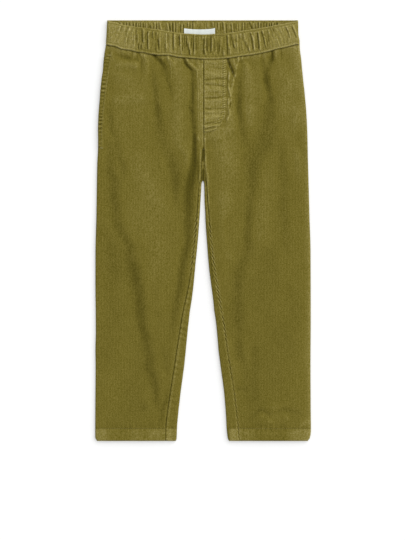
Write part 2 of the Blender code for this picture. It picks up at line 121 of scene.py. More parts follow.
# Small puckers where a seam pulls the cloth, with the same columns as the folds
RIGHT_PUCKERS = (
    ((57, -24.8, 1.4, 0.9), (60, -23.4, 1.8, 1.3), (62, -21.8, 2, 0.8), (65, -19, 2.6, 1.5),
     (67.5, -16.4, 2.2, 1), (70, -13, 2.6, 1.4), (73, -10, 2.4, 1), (78, -8.6, 1, 1.2),
     (85, -8.4, 0.9, 0.8), (94, -7.6, 0.8, 0.5), (112, -7.2, 0.8, 0.9), (124, -7.2, 0.8, 0.5),
     (150, -6.8, 0.8, 0.4), (186, -6.5, 0.8, 0)),
    ((84, -4, 0.9, 0), (90, -3.9, 1, 1.3), (97, -3.8, 0.9, 0.8), (110, -3.8, 0.8, 0.6),
     (122, -3.8, 0.8, 1), (134, -3.8, 0.9, 0.6), (170, -3.5, 0.9, 0.3), (186, -3.5, 0.9, 0)),
    ((60, -8, 1.6, 0), (64, -6, 3, 0.4), (69, -4, 4, 0.6), (75, -4, 3, 0.2), (80, -4, 2, 0)),
    ((172, -8, 1.6, 0), (177, -7.2, 2, 1.2), (181, -6, 1.6, 0)),
    ((162, -13.5, 2, 0), (167, -12.2, 2.6, 0.5), (172, -11.4, 2, 0)),
    ((126, -21.5, 1.8, 0), (131, -20, 2.2, -0.3), (137, -15.5, 2.2, -0.35), (141, -12.5, 2, 0)),
    ((95, -11, 1, 0), (99, -11, 1.2, -0.5), (105, -11.5, 1, 0)),
    ((51, -52.5, 1, 0.8), (55, -52.3, 1.1, 1.6), (61, -52, 0.9, 0.5), (68, -48.2, 0.9, 0.8),
     (82, -47.6, 0.9, 0.5), (90, -47.4, 0.8, 0)),
    ((48, -104, 1, 0), (53, -104.2, 1.1, 0.8), (59, -104.6, 1, 0)),
    ((47, -99.2, 1, -0.5), (54, -99, 1.2, -0.6), (60, -98.4, 1, 0)),
    ((49, -88.2, 1, 0), (53, -88.2, 1.1, 0.8), (58, -88, 1, 0)),
    ((50, -79, 0.9, 1), (54, -79, 0.9, 0)),
    ((46, -137.5, 1.4, 0), (49, -136.5, 1.4, 0.8), (53, -137.2, 1.4, 0.6), (57, -135.5, 1.4, 0.7),
     (61, -134.5, 1.4, 0)),
    ((188, -5, 1, 0), (198, -3.6, 1.1, 1), (208, -4, 1.1, 0.9), (222, -3.4, 1.1, 0.6),
     (238, -5, 1.1, 0.9), (256, -6.6, 1, 0.5), (272, -7.5, 1, 0)),
    ((204, -8.6, 1, 0), (214, -7.6, 1.1, -0.5), (232, -7.6, 1.1, -0.7), (246, -8.8, 1, 0)),
)
# Creases that run across the leg: x, level, half-width, height
RIGHT_CREASES = (
    ((-134, 51, 3, 0), (-125, 54, 3, -0.9), (-112, 56.5, 3.5, -1.3), (-106, 58, 3, -0.4),
     (-100, 59, 3, -0.8), (-95, 61, 3, 0)),
    ((-134, 66, 6, 0.3), (-122, 67, 6, 1.1), (-112, 66, 5, 1), (-102, 67.5, 5, 1.2), (-95, 68, 3, 0)),
    ((-126, 46, 3, 0), (-118, 48, 3.5, 1), (-111, 51, 3, 0)),
    ((-140, 84, 6, 0), (-124, 84, 8, 0.6), (-106, 90, 8, 0.3), (-96, 92, 6, 0)),
    ((-138, 119, 6, 0.1), (-127, 119, 7, 0.8), (-106, 116, 7, 0.6), (-92, 117, 7, 0.7), (-80, 118, 6, 0)),
    ((-147, 48.6, 1.3, 0), (-142, 49, 1.3, -1), (-137, 49.4, 1.3, 0)),
    ((-145, 55.2, 1.3, 0), (-139.5, 55, 1.4, -1), (-135, 54.5, 1.3, 0)),
    ((-100, 583, 5, 0), (-90, 582, 6, -0.6), (-80, 582, 5, 0)),
    ((-150, 610, 3, 0), (-146, 610, 3, -0.1), (-118, 610.5, 3.5, -0.2), (-62, 608, 4, -0.15),
     (-56, 607, 4, 0)),
)


def smooth(table, at, column=1):
    """A table's column as a smooth curve over its first column, with no overshoot."""
    place, value = np.array(table, dtype=float)[:, [0, column]].T
    step = np.diff(place)
    rise = np.diff(value) / step
    before, after = rise[:-1], rise[1:]
    same_way = before * after > 0
    between = np.where(same_way, 2 * before * after / np.where(same_way, before + after, 1), 0)
    slope = np.concatenate(([rise[0]], between, [rise[-1]]))
    i = np.clip(np.searchsorted(place, at, side="right") - 1, 0, len(step) - 1)
    t = np.clip((at - place[i]) / step[i], 0, 1)
    return (value[i] * (1 + 2 * t) * (1 - t) ** 2 + step[i] * slope[i] * t * (1 - t) ** 2
            + value[i + 1] * t ** 2 * (3 - 2 * t) + step[i] * slope[i + 1] * t ** 2 * (t - 1))


def folded(paths, along, aside):
    """Sum of the folds at each point. Each follows its path, and its width and height vary."""
    total = np.zeros(np.shape(aside))
    for path in paths:
        if np.min(along) < path[-1][0] and np.max(along) > path[0][0]:
            middle, half_width, height = (smooth(path, along, column) for column in (1, 2, 3))
            total += height * np.exp(-((aside - middle) / half_width) ** 2)
    return total


def pucker(along, away, pitch, reach, height, lean=0.0):
    """Uneven ripples that cross a seam and fade away from it."""
    wander = 0.9 * np.sin(along / 11.0) + 0.6 * np.sin(along / 4.7 + 1.0)
    strength = 0.65 + 0.35 * np.sin(along / 8.3 + 2.0)
    wave = np.cos(2 * np.pi * (along + wander + lean * away) / pitch)
    return height * strength * wave * np.exp(-(away / reach) ** 2)


def drape(x, level):
    """Slight unevenness of cloth that lies at rest."""
    return (0.22 * np.sin(x / 19 + level / 83) * np.sin(level / 47 + x / 61 + 0.7)
            + 0.10 * np.sin(x / 7.3 - level / 31) * np.sin(level / 23 + 1.9))


class Leg:
    """How the cloth of one side lies: the outline, the folds and the top of the front layer."""

    def __init__(self, sign, side, inner, folds, creases, puckers, twist):
        self.sign, self.side, self.inner = sign, side, inner
        self.folds, self.creases, self.puckers, self.twist = folds, creases, puckers, twist

    def side_out(self, level):
        return smooth(self.side, level)

    def inner_out(self, level):
        return smooth(self.inner, level)

    def inseam_out(self, level):
        return self.inner_out(level) + smooth(self.inner, level, 2)

    def crease(self, x, level):
        level = level + np.zeros(np.shape(x))
        return folded(self.folds, level, x) + folded(self.creases, x, level) + drape(x, level)

    def top(self, out, level):
        x = self.sign * out
        from_crotch = np.hypot(x - CENTRE_SEAM, CROTCH - level)
        from_inside = np.where(level > CROTCH, out - self.inner_out(level), from_crotch)
        inward = np.clip(np.minimum(self.side_out(level) - out, from_inside) - EDGE, 0, None)
        soft = 0.6 * (1 - np.exp(-inward / 12))
        return STACK + soft + self.crease(x, level) * np.clip(inward / 6, 0, 1)


POINTS_TO_A_RIB = 4
END_ROOM = 0.35           # the last point before an end keeps this part of a step clear of it


def wale_places(start, end):
    """Places across the cloth from start to end, in line from row to row."""
    step = WALE / POINTS_TO_A_RIB
    first, last = np.ceil(start / step + END_ROOM), np.floor(end / step - END_ROOM)
    return np.concatenate(([start], step * np.arange(first, last + 1), [end]))


def pile(place):
    """1 on a rib's crown, 0 in the furrow between two ribs."""
    return 1 - np.abs(2 * ((place / WALE) % 1) - 1) ** 3


class Row:
    """Points along one row of cloth: place across it, position, facing, and its wear and painted light and
    shade.
    """

    def __init__(self, place, x, level, z, facing_x, facing_z, wear_and_shading, ribs=True):
        self.place = place
        self.pile = pile(place) if ribs else np.full(place.shape, 0.6)
        self.wear_and_shading = wear_and_shading * np.ones(place.shape)
        nothing = np.zeros(place.shape)
        self.face = np.column_stack((facing_x + nothing, nothing, facing_z + nothing))
        self.base = np.column_stack((x, level + nothing, z))
        depth = WALE_HEIGHT * (1 - self.pile) if ribs else nothing
        self.outer = self.base - depth[:, None] * self.face


def strip(a, b, place_a, place_b):
    """Triangles between two rows of vertices, from their places along the rows."""
    order = np.argsort(np.concatenate((place_a[1:], place_b[1:])), kind="stable")
    from_a = order < len(a) - 1
    i = np.cumsum(from_a) - from_a
    j = np.cumsum(~from_a) - ~from_a
    third = np.where(from_a, a[np.minimum(i + 1, len(a) - 1)], b[np.minimum(j + 1, len(b) - 1)])
    return np.column_stack((a[i], third, b[j]))


class Cloth:
    """Vertices and triangles of a piece while it is being put together."""

    def __init__(self):
        self.points, self.pile, self.wear_and_shading, self.inside, self.triangles = [], [], [], [], []
        self.count = 0

    def add_row(self, points, pile_here, wear_and_shading, inside):
        number = np.arange(self.count, self.count + len(points))
        self.count += len(points)
        self.points.append(points)
        self.pile.append(pile_here)
        self.wear_and_shading.append(wear_and_shading)
        self.inside.append(np.full(len(points), inside))
        return number

    def add_face(self, rows, places, widening=None):
        """Join rows to each other. Where the cloth widens, given as a row and a place in it, only
        what lies past that place is joined to the row above."""
        for k in range(1, len(rows)):
            lower, lower_places = rows[k], places[k]
            if widening is not None and k == widening[0]:
                kept = lower_places >= widening[1]
                lower, lower_places = lower[kept], lower_places[kept]
            self.triangles.append(strip(rows[k - 1], lower, places[k - 1], lower_places))

    def join(self, a, b):
        """Close the gap between two borders that run the same way."""
        points = np.concatenate(self.points)

        def along(line):
            steps = np.linalg.norm(np.diff(points[line], axis=0), axis=1)
            run = np.concatenate(([0], np.cumsum(steps)))
            return run / run[-1]

        self.triangles.append(strip(a, b, along(a), along(b)))

    def finish(self, name, materials):
        points = np.concatenate(self.points)
        triangles = np.concatenate(self.triangles)
        co = np.column_stack((points[:, 0], WAIST_Y - points[:, 1], points[:, 2])) * MM
        mesh = bpy.data.meshes.new(name)
        mesh.vertices.add(len(co))
        mesh.vertices.foreach_set("co", co.ravel())
        mesh.loops.add(3 * len(triangles))
        mesh.loops.foreach_set("vertex_index", triangles.ravel())
        mesh.polygons.add(len(triangles))
        mesh.polygons.foreach_set("loop_start", np.arange(0, 3 * len(triangles), 3))
        mesh.update(calc_edges=True)
        for label, values in (("pile", self.pile), ("wear_and_shading", self.wear_and_shading)):
            layer = mesh.attributes.new(label, "FLOAT", "POINT")
            layer.data.foreach_set("value", np.concatenate(values).astype(np.float32))
        if len(materials) > 1:
            inside = np.concatenate(self.inside)[triangles].all(axis=1)
            mesh.polygons.foreach_set("material_index", inside.astype(np.int32))
        shape = bmesh.new()
        shape.from_mesh(mesh)
        bmesh.ops.recalc_face_normals(shape, faces=shape.faces[:])
        shape.to_mesh(mesh)
        shape.free()
        mesh.shade_smooth()
        for material in materials:
            mesh.materials.append(material)
        piece = bpy.data.objects.new(name, mesh)
        bpy.context.scene.collection.objects.link(piece)
        return piece


INNER_ROW_STEP = 2        # the inner face has every other row
INNER_PILE = 0.4


def thinned(items, step):
    """Every so many items, with the last kept."""
    return list(items[:-1:step]) + [items[-1]]


def first_border(rows, places, widening):
    """The border where the rows start, in its stretches: above the row where the cloth
    widens, along that row and below it, or in one where it doesn't widen."""
    if widening is None:
        return [np.array([row[0] for row in rows])]
    number, place = widening
    corner = rows[number][places[number] >= place][:1]
    above = np.concatenate(([row[0] for row in rows[:number]], corner))
    along = np.concatenate((corner, rows[number][places[number] < place][::-1]))
    return [above, along, np.array([row[0] for row in rows[number:]])]


def cloth_piece(name, rows, materials, thickness=CLOTH, widens_at=None, column_step=6):
    """A closed piece of cloth: the ribbed outer face of the rows, and a plain inner face with
    fewer points. From the row widens_at on, the rows start further out."""
    cloth = Cloth()
    outer = [cloth.add_row(row.outer, row.pile, row.wear_and_shading, False) for row in rows]
    outer_places = [row.place for row in rows]
    kept_rows = thinned(range(len(rows)), INNER_ROW_STEP)
    outer_widening = inner_widening = None
    if widens_at is not None:
        upper = thinned(range(widens_at), INNER_ROW_STEP)
        kept_rows = upper + thinned(range(widens_at, len(rows)), INNER_ROW_STEP)
        outer_widening = (widens_at, rows[widens_at].widening)
        inner_widening = (len(upper), rows[widens_at].widening)
    cloth.add_face(outer, outer_places, outer_widening)
    inner, inner_places = [], []
    for k in kept_rows:
        row = rows[k]
        picked = np.array(thinned(range(len(row.place)), column_step))
        under = row.base[picked] - thickness * row.face[picked]
        inner.append(cloth.add_row(under, np.full(len(picked), INNER_PILE), np.zeros(len(picked)), True))
        inner_places.append(row.place[picked])
    cloth.add_face(inner, inner_places, inner_widening)
    for outer_line, inner_line in zip(first_border(outer, outer_places, outer_widening),
                                      first_border(inner, inner_places, inner_widening)):
        cloth.join(outer_line, inner_line)
    cloth.join(np.array([line[-1] for line in outer]), np.array([line[-1] for line in inner]))
    cloth.join(outer[0], inner[0])
    cloth.join(outer[-1], inner[-1])
    return cloth.finish(name, materials)


def shader(name, roughness):
    material = bpy.data.materials.new(name)
    material.use_nodes = True
    tree = material.node_tree
    surface = tree.nodes["Principled BSDF"]
    surface.inputs["Roughness"].default_value = roughness
    return material, tree, surface


def node(tree, kind, **settings):
    made = tree.nodes.new(kind)
    for key, value in settings.items():
        if key in made.inputs:
            made.inputs[key].default_value = value
        else:
            setattr(made, key, value)
    return made


def mix_colour(tree, kind, factor, a, b):
    """Mix two colours, each a colour or a socket, by a number or a socket."""
    mix = tree.nodes.new("ShaderNodeMix")
    mix.data_type = "RGBA"
    mix.blend_type = kind
    for socket, value in ((mix.inputs[0], factor), (mix.inputs[6], a), (mix.inputs[7], b)):
        if isinstance(value, bpy.types.NodeSocket):
            tree.links.new(value, socket)
        else:
            socket.default_value = value
    return mix.outputs[2]


def remap(tree, value, from_range, to_range):
    scaled = tree.nodes.new("ShaderNodeMapRange")
    for label, number in zip(("From Min", "From Max", "To Min", "To Max"), (*from_range, *to_range)):
        scaled.inputs[label].default_value = number
    tree.links.new(value, scaled.inputs["Value"])
    return scaled.outputs["Result"]


def product(tree, a, b):
    times = node(tree, "ShaderNodeMath", operation="MULTIPLY")
    tree.links.new(a, times.inputs[0])
    tree.links.new(b, times.inputs[1])
    return times.outputs[0]


def corduroy(name, crown, furrow, wear_and_shading):
    """Cut pile: paler crowns, darker furrows, patches of nap that lean either way, soft fuzz, then wear and
    painted light and shade from an attribute.
    """
    material, tree, surface = shader(name, 0.92)
    where = tree.nodes.new("ShaderNodeTexCoord").outputs["Object"]
    rib = node(tree, "ShaderNodeAttribute", attribute_name="pile").outputs["Fac"]
    rubbed_and_shaded = node(tree, "ShaderNodeAttribute", attribute_name="wear_and_shading").outputs["Fac"]
    nap, streaks, fuzz = (node(tree, "ShaderNodeTexNoise", Scale=1.0, Detail=detail, Roughness=0.6)
                          for detail in (2.0, 2.0, 1.0))
    for texture, fineness in ((nap, (34, 30, 30)), (streaks, (480, 110, 110)), (fuzz, (800, 540, 540))):
        stretch = node(tree, "ShaderNodeMapping", Scale=fineness)
        tree.links.new(where, stretch.inputs["Vector"])
        tree.links.new(stretch.outputs["Vector"], texture.inputs["Vector"])
    fullness = product(tree, rib, remap(tree, streaks.outputs["Fac"], (0.3, 0.7), (0.6, 1.15)))
    colour = mix_colour(tree, "MIX", fullness, (*furrow, 1), (*crown, 1))
    # Rubbed cloth, and ridges where light is painted, go towards the paler colour.
    colour = mix_colour(tree, "MIX", rubbed_and_shaded, colour, (*wear_and_shading, 1))
    for texture, depth in ((nap, 0.035), (streaks, 0.045), (fuzz, 0.30)):
        thin, thick = ((1 + way * depth, 1 + way * depth, 1 + way * 2.6 * depth, 1) for way in (-1, 1))
        lying = remap(tree, texture.outputs["Fac"], (0.3, 0.7), (0, 1))
        colour = mix_colour(tree, "MULTIPLY", 1.0, colour, mix_colour(tree, "MIX", lying, thin, thick))
    # Below 0 the attribute is painted shade: it darkens the cloth towards an olive-brown tint.
    unshaded = remap(tree, rubbed_and_shaded, (-0.5, 0), (0, 1))
    shade = mix_colour(tree, "MIX", unshaded, (0.5, 0.5, 0.2, 1), (1, 1, 1, 1))
    colour = mix_colour(tree, "MULTIPLY", 1.0, colour, shade)
    tree.links.new(colour, surface.inputs["Base Color"])
    bump = node(tree, "ShaderNodeBump", Strength=0.35, Distance=0.0002)
    tree.links.new(fuzz.outputs["Fac"], bump.inputs["Height"])
    tree.links.new(bump.outputs["Normal"], surface.inputs["Normal"])
    surface.inputs["Sheen Weight"].default_value = 0.2
    surface.inputs["Sheen Roughness"].default_value = 0.45
    surface.inputs["Sheen Tint"].default_value = (0.75, 0.72, 0.42, 1)
    surface.inputs["Specular IOR Level"].default_value = 0.15
    return material


# Crown and furrow are the ribs' own tones, with painted shade in the furrows. The third colour is for rubbed
# cloth and for painted highlights.
CROWN = (0.149, 0.1215, 0.0175)
FURROW = (0.118, 0.0945, 0.0105)
WORN_AND_LIT = (0.262, 0.221, 0.066)
leg_corduroy = corduroy("olive_corduroy", CROWN, FURROW, WORN_AND_LIT)


def wrong_side(name):
    """The cloth's plain twill back, seen inside the legs."""
    material, tree, surface = shader(name, 0.95)
    where = tree.nodes.new("ShaderNodeTexCoord").outputs["Object"]
    twill = node(tree, "ShaderNodeTexWave", Scale=450.0, Distortion=1.5)
    twill.bands_direction = "DIAGONAL"
    tree.links.new(where, twill.inputs["Vector"])
    colour = mix_colour(tree, "MIX", twill.outputs["Fac"], (0.105, 0.086, 0.016, 1), (0.14, 0.115, 0.024, 1))
    tree.links.new(colour, surface.inputs["Base Color"])
    return material


cloth_back = wrong_side("corduroy_wrong_side")

# The inseam is pulled round like a rope: level, how strongly
RIGHT_TWIST = ((194, 0.0), (275, 0.0), (300, 0.6), (330, 0.8), (372, 0.6), (400, 0.12), (631, 0.05))
right_leg = Leg(-1, RIGHT_SIDE, RIGHT_INNER, RIGHT_FOLDS, RIGHT_CREASES, RIGHT_PUCKERS, RIGHT_TWIST)
FRONT_LEVELS = np.concatenate((
    np.arange(SEAM_AT_BACK + 0.25, CROTCH - 1, 1.6), (CROTCH - 0.02, CROTCH + 0.02),
    np.arange(CROTCH + 1.6, 480, 1.8), np.arange(480, HEM - 3, 2.4), np.arange(HEM - 2.2, HEM + 3, 0.7),
    np.arange(HEM + 3.4, LENGTH - 1.5, 2.0), (LENGTH - 1.2, LENGTH - 0.5, LENGTH),
))
SIDE_SEAM_ANGLE = np.radians(102)   # from the top, where the side seam lies


def sinking(x, level):
    """How far a row of the front sinks to follow the waistband's lower seam."""
    fade = np.clip((110 - level) / (110 - SEAM_AT_BACK), 0, 1)
    return (smooth(BAND_SEAM, x) - SEAM_AT_BACK) * fade


def hem_rise(x, level):
    """The turned hem: a double thickness below its stitching, pulled in along the stitches."""
    turned = HEM_RAISE * np.clip((level - HEM) / 0.9, 0, 1)
    stitched = -0.45 * np.exp(-((level - HEM - 0.4) / 0.8) ** 2)
    inner_turn = 0.16 * np.exp(-((level - HEM - 7.5) / 1.2) ** 2)
    rolled = -0.9 * np.clip((level - LENGTH + 1.3) / 1.3, 0, 1) ** 2
    ripple = pucker(x, level - HEM, 7.0, 7.0, 0.16)
    return turned + stitched + inner_turn + rolled + ripple


SMALL_SHADE = 0.5         # ridges painted paler, as rubbed and lit, and furrows painted darker as shade, per mm
# Painted shade in the folds' troughs and painted light on their ridges, per mm of height
FOLD_SHADE = 0.23
# How much paler the front is made towards the waist
HIP_PALENESS = 0.05
ALLOWANCE = 9.3           # the centre seam's allowances lie under the right front


def seam_dip(away, depth=0.8, reach=0.9):
    """Cloth turns down into a seam."""
    return -depth * np.exp(-(away / reach) ** 2)


def seam_shade(level):
    """How dark the centre seam is: most beside the fly, where it is pulled open."""
    pulled = np.clip((level - 56) / 8, 0, 1) * np.clip((159 - level) / 5, 0, 1)
    return 0.15 + (0.6 + 0.35 * np.sin(level / 7.5 + 3.4)) * pulled


CROTCH_SHADE = (          # level, how dark the cloth is that turns down between the legs
    (188, 0), (195, 0.7), (205, 0.9), (209, 0.5), (212, 0.1), (221, 0.1), (225, 0.9), (238, 1.2),
    (243, 0.5), (250, 0.1), (270, 0),
)


def crotch_shade(x, level):
    return smooth(CROTCH_SHADE, level) * np.exp(-((x - 0.2) / 1.3) ** 2) * (level > 188) * (level < 270)


HEM_PALENESS = (              # x, how much paler the hem is
    (-160, 0.45), (-149, 0.42), (-142, 0.1), (-112, 0.08), (-104, 0.22), (-88, 0.12), (-75, 0.34),
    (-60, 0.26), (-55, 0.2), (-50, 0.6), (-44, 0.3), (-38, 0.15), (38, 0.05), (43, 0.6), (47, 0.62),
    (51, 0.3), (62, 0.22), (73, 0.22), (80, 0), (120, 0), (130, 0.22), (145, 0.42), (160, 0.42),
)


def hem_paleness(x, level):
    end = 0.2 * np.exp(-((level - LENGTH) / 1.2) ** 2)
    return smooth(HEM_PALENESS, x) * np.clip((level - HEM) / 1.5, 0, 1) + end


TWIST_PITCH = 8.2
TWIST_LEAN = 2.3          # how steeply the strands cross the seam
TWIST_HEIGHT = 0.5
# Painted light on the strands' crests and painted shade between them
TWIST_SHADING = 0.95


def strands(leg, level, away):
    """Slanting strands of a twisted inseam, from -1 to 1, at a distance out from it."""
    wander = 1.1 * np.sin(level / 11.0) + 0.8 * np.sin(level / 4.7 + 1.0)
    wave = np.cos(2 * np.pi * (level + wander - TWIST_LEAN * away) / TWIST_PITCH)
    wave = np.where(wave > 0, 1.25 * wave, 0.9 * wave)
    uneven = 0.75 + 0.25 * np.sin(level / 8.3 + 2.0)
    return smooth(leg.twist, level) * uneven * wave * np.exp(-((away - 0.2) / 2.4) ** 2)


def front_relief(leg, x, out, level):
    """Puckers and seams of a front, on top of how the leg lies. Also gives its wear and painted light and
    shade.
    """
    below_band = level - smooth(BAND_SEAM, x)
    from_centre = np.where(level < CROTCH, np.abs(x - CENTRE_SEAM), 99.0)
    from_inseam = np.where(level > CROTCH, out - leg.inseam_out(level), 99.0)
    twisted = smooth(leg.twist, level)
    rise = seam_dip(from_centre, 0.7, 0.6) + seam_dip(below_band, 0.4, 1.0)
    rise += (1 - 0.7 * twisted) * seam_dip(from_inseam, 0.5)
    puckers = folded(leg.puckers, level + 0 * x, x)
    rise += 0.7 * puckers - 1.3 * crotch_shade(x, level)
    rise += pucker(x, below_band, 8.5, 9.0, 0.36)
    rise += pucker(level, from_centre, 8.0, 4.0, 0.18)
    rope = strands(leg, level, from_inseam)
    rise += pucker(level, from_inseam, 6.2, 5.0, 0.12) + TWIST_HEIGHT * rope
    rise += hem_rise(x, level)
    # Pale lines beside the centre seam and the inseam; painted light on strands, puckers and fold ridges and
    # painted shade between them; painted shade in the seams and where the cloth turns down between the legs;
    # paler at the hem and just below the waistband.
    wear_and_shading = 0.4 * np.exp(-((from_centre - 1.8) / 1.2) ** 2) + TWIST_SHADING * rope
    wear_and_shading += (0.12 if leg.sign < 0 else 0.2) * np.exp(-((from_inseam - 1.6) / 1.2) ** 2)
    small = rise - HEM_RAISE * (level > HEM)
    wear_and_shading += hem_paleness(x, level) + SMALL_SHADE * small + FOLD_SHADE * leg.crease(x, level)
    wear_and_shading += 0.22 * puckers
    wear_and_shading += HIP_PALENESS * (1 - level / 300) + 0.14 * np.exp(-((below_band - 3.2) / 1.6) ** 2)
    wear_and_shading += 0.12 * np.exp(-(below_band / 8.0) ** 2) - crotch_shade(x, level)
    wear_and_shading -= seam_shade(level) * np.exp(-(from_centre / 0.9) ** 2)
    wear_and_shading -= (0.24 if leg.sign < 0 else 0.14) * (1 - twisted) * np.exp(-(from_inseam / 0.8) ** 2)
    if leg.sign < 0:
        on_allowance = 1 / (1 + np.exp((from_centre - ALLOWANCE) / 0.7))
        on_allowance *= np.clip((below_band - 8) / 5, 0, 1)
        on_allowance *= np.clip((CROTCH - 2 - level) / 12, 0, 1)
        rise += 0.25 * on_allowance
        wear_and_shading += 0.2 * on_allowance
    else:
        # The left leg's side faces the light: a painted highlight along its side edge, wider near the hip.
        from_side = leg.side_out(level) - out
        wear_and_shading += 0.33 * np.exp(-(from_side / 6.0) ** 2)
        wear_and_shading += 0.35 * np.exp(-(from_side / 16.0) ** 2) * np.clip((120 - level) / 70, 0, 1)
    return rise, wear_and_shading


def front_row(leg, level):
    """One row of a front, from the centre or the inseam out over the side edge."""
    fold_at = leg.side_out(level) - EDGE
    if level < CROTCH:
        start = leg.sign * CENTRE_SEAM + SEAM / 2
    else:
        start = leg.inseam_out(level) + SEAM / 2
    if leg.sign < 0:
        end = fold_at + EDGE * SIDE_SEAM_ANGLE
        bottom = 0.0
    else:
        end = fold_at + np.pi * EDGE + LEFT_ROLL - EDGE
        bottom = roll_lift(level)
    place = wale_places(start, end)
    turn = np.clip((place - fold_at) / EDGE, 0, np.pi)
    past = np.clip(place - fold_at - np.pi * EDGE, 0, None)
    out = np.minimum(place, fold_at) + EDGE * np.sin(turn) - past
    x = leg.sign * out
    true_level = level + sinking(x, level)
    rise, wear_and_shading = front_relief(leg, x, out, true_level)
    top = leg.top(out, true_level) + rise
    around = bottom + (STACK - bottom) * (1 + np.cos(turn)) / 2
    settle = np.clip(1 - turn / 1.2, 0, 1)
    z = np.where(turn > 0, around + rise * settle, top)
    facing = np.where(turn > 0, np.cos(turn), 1.0)
    return Row(place, x, true_level, z, leg.sign * np.sin(turn), facing, wear_and_shading)


front_right = cloth_piece("cloth_front_right", [front_row(right_leg, level) for level in FRONT_LEVELS],
                          [leg_corduroy, cloth_back])
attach(front_right, "root")
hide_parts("front_right")

# ---------------------------------------------------------------------------------------
# Left front. The same cut turned over. The garment lies slightly twisted, so this one
# rolls under at the side, and the turned edge of its pocket is underneath.

LEFT_ROLL = 8.0
LEFT_SIDE = (             # level, out
    (0, 142.9), (20, 143.3), (32, 145.2), (39, 145.3), (57, 147.4), (84, 150), (120, 153.8), (156, 156.3),
    (204, 157.6), (288, 159.9), (348, 161.6), (444, 161.9), (516, 161.5), (588, 161.9), (614, 162.2),
    (620, 161.8), (627, 160.3), (630.8, 157.4),
)
LEFT_INNER = (            # level, out to the inner edge, how far in from it the inseam lies
    (194, -0.6, 2), (203, -0.5, 2.6), (216, -0.4, 3), (239.5, -0.3, 3.7), (243, 1.4, 3.9),
    (252, 1.8, 4.2), (270, 2.2, 4.8), (288, 3.2, 5.4), (300, 3.6, 5.9), (324, 5.2, 6.6), (372, 9.1, 8),
    (390, 11.3, 8.7), (420, 15.3, 9.8), (435, 16.8, 10.6), (450, 19.1, 11.4), (468, 21, 12.2),
    (480, 22, 12.6), (495, 23.3, 13.2), (516, 26, 14), (564, 32.2, 15.2), (600, 34.8, 16.8),
    (612, 35.4, 17.3), (627, 37.2, 17), (630.8, 38.8, 15.4),
)
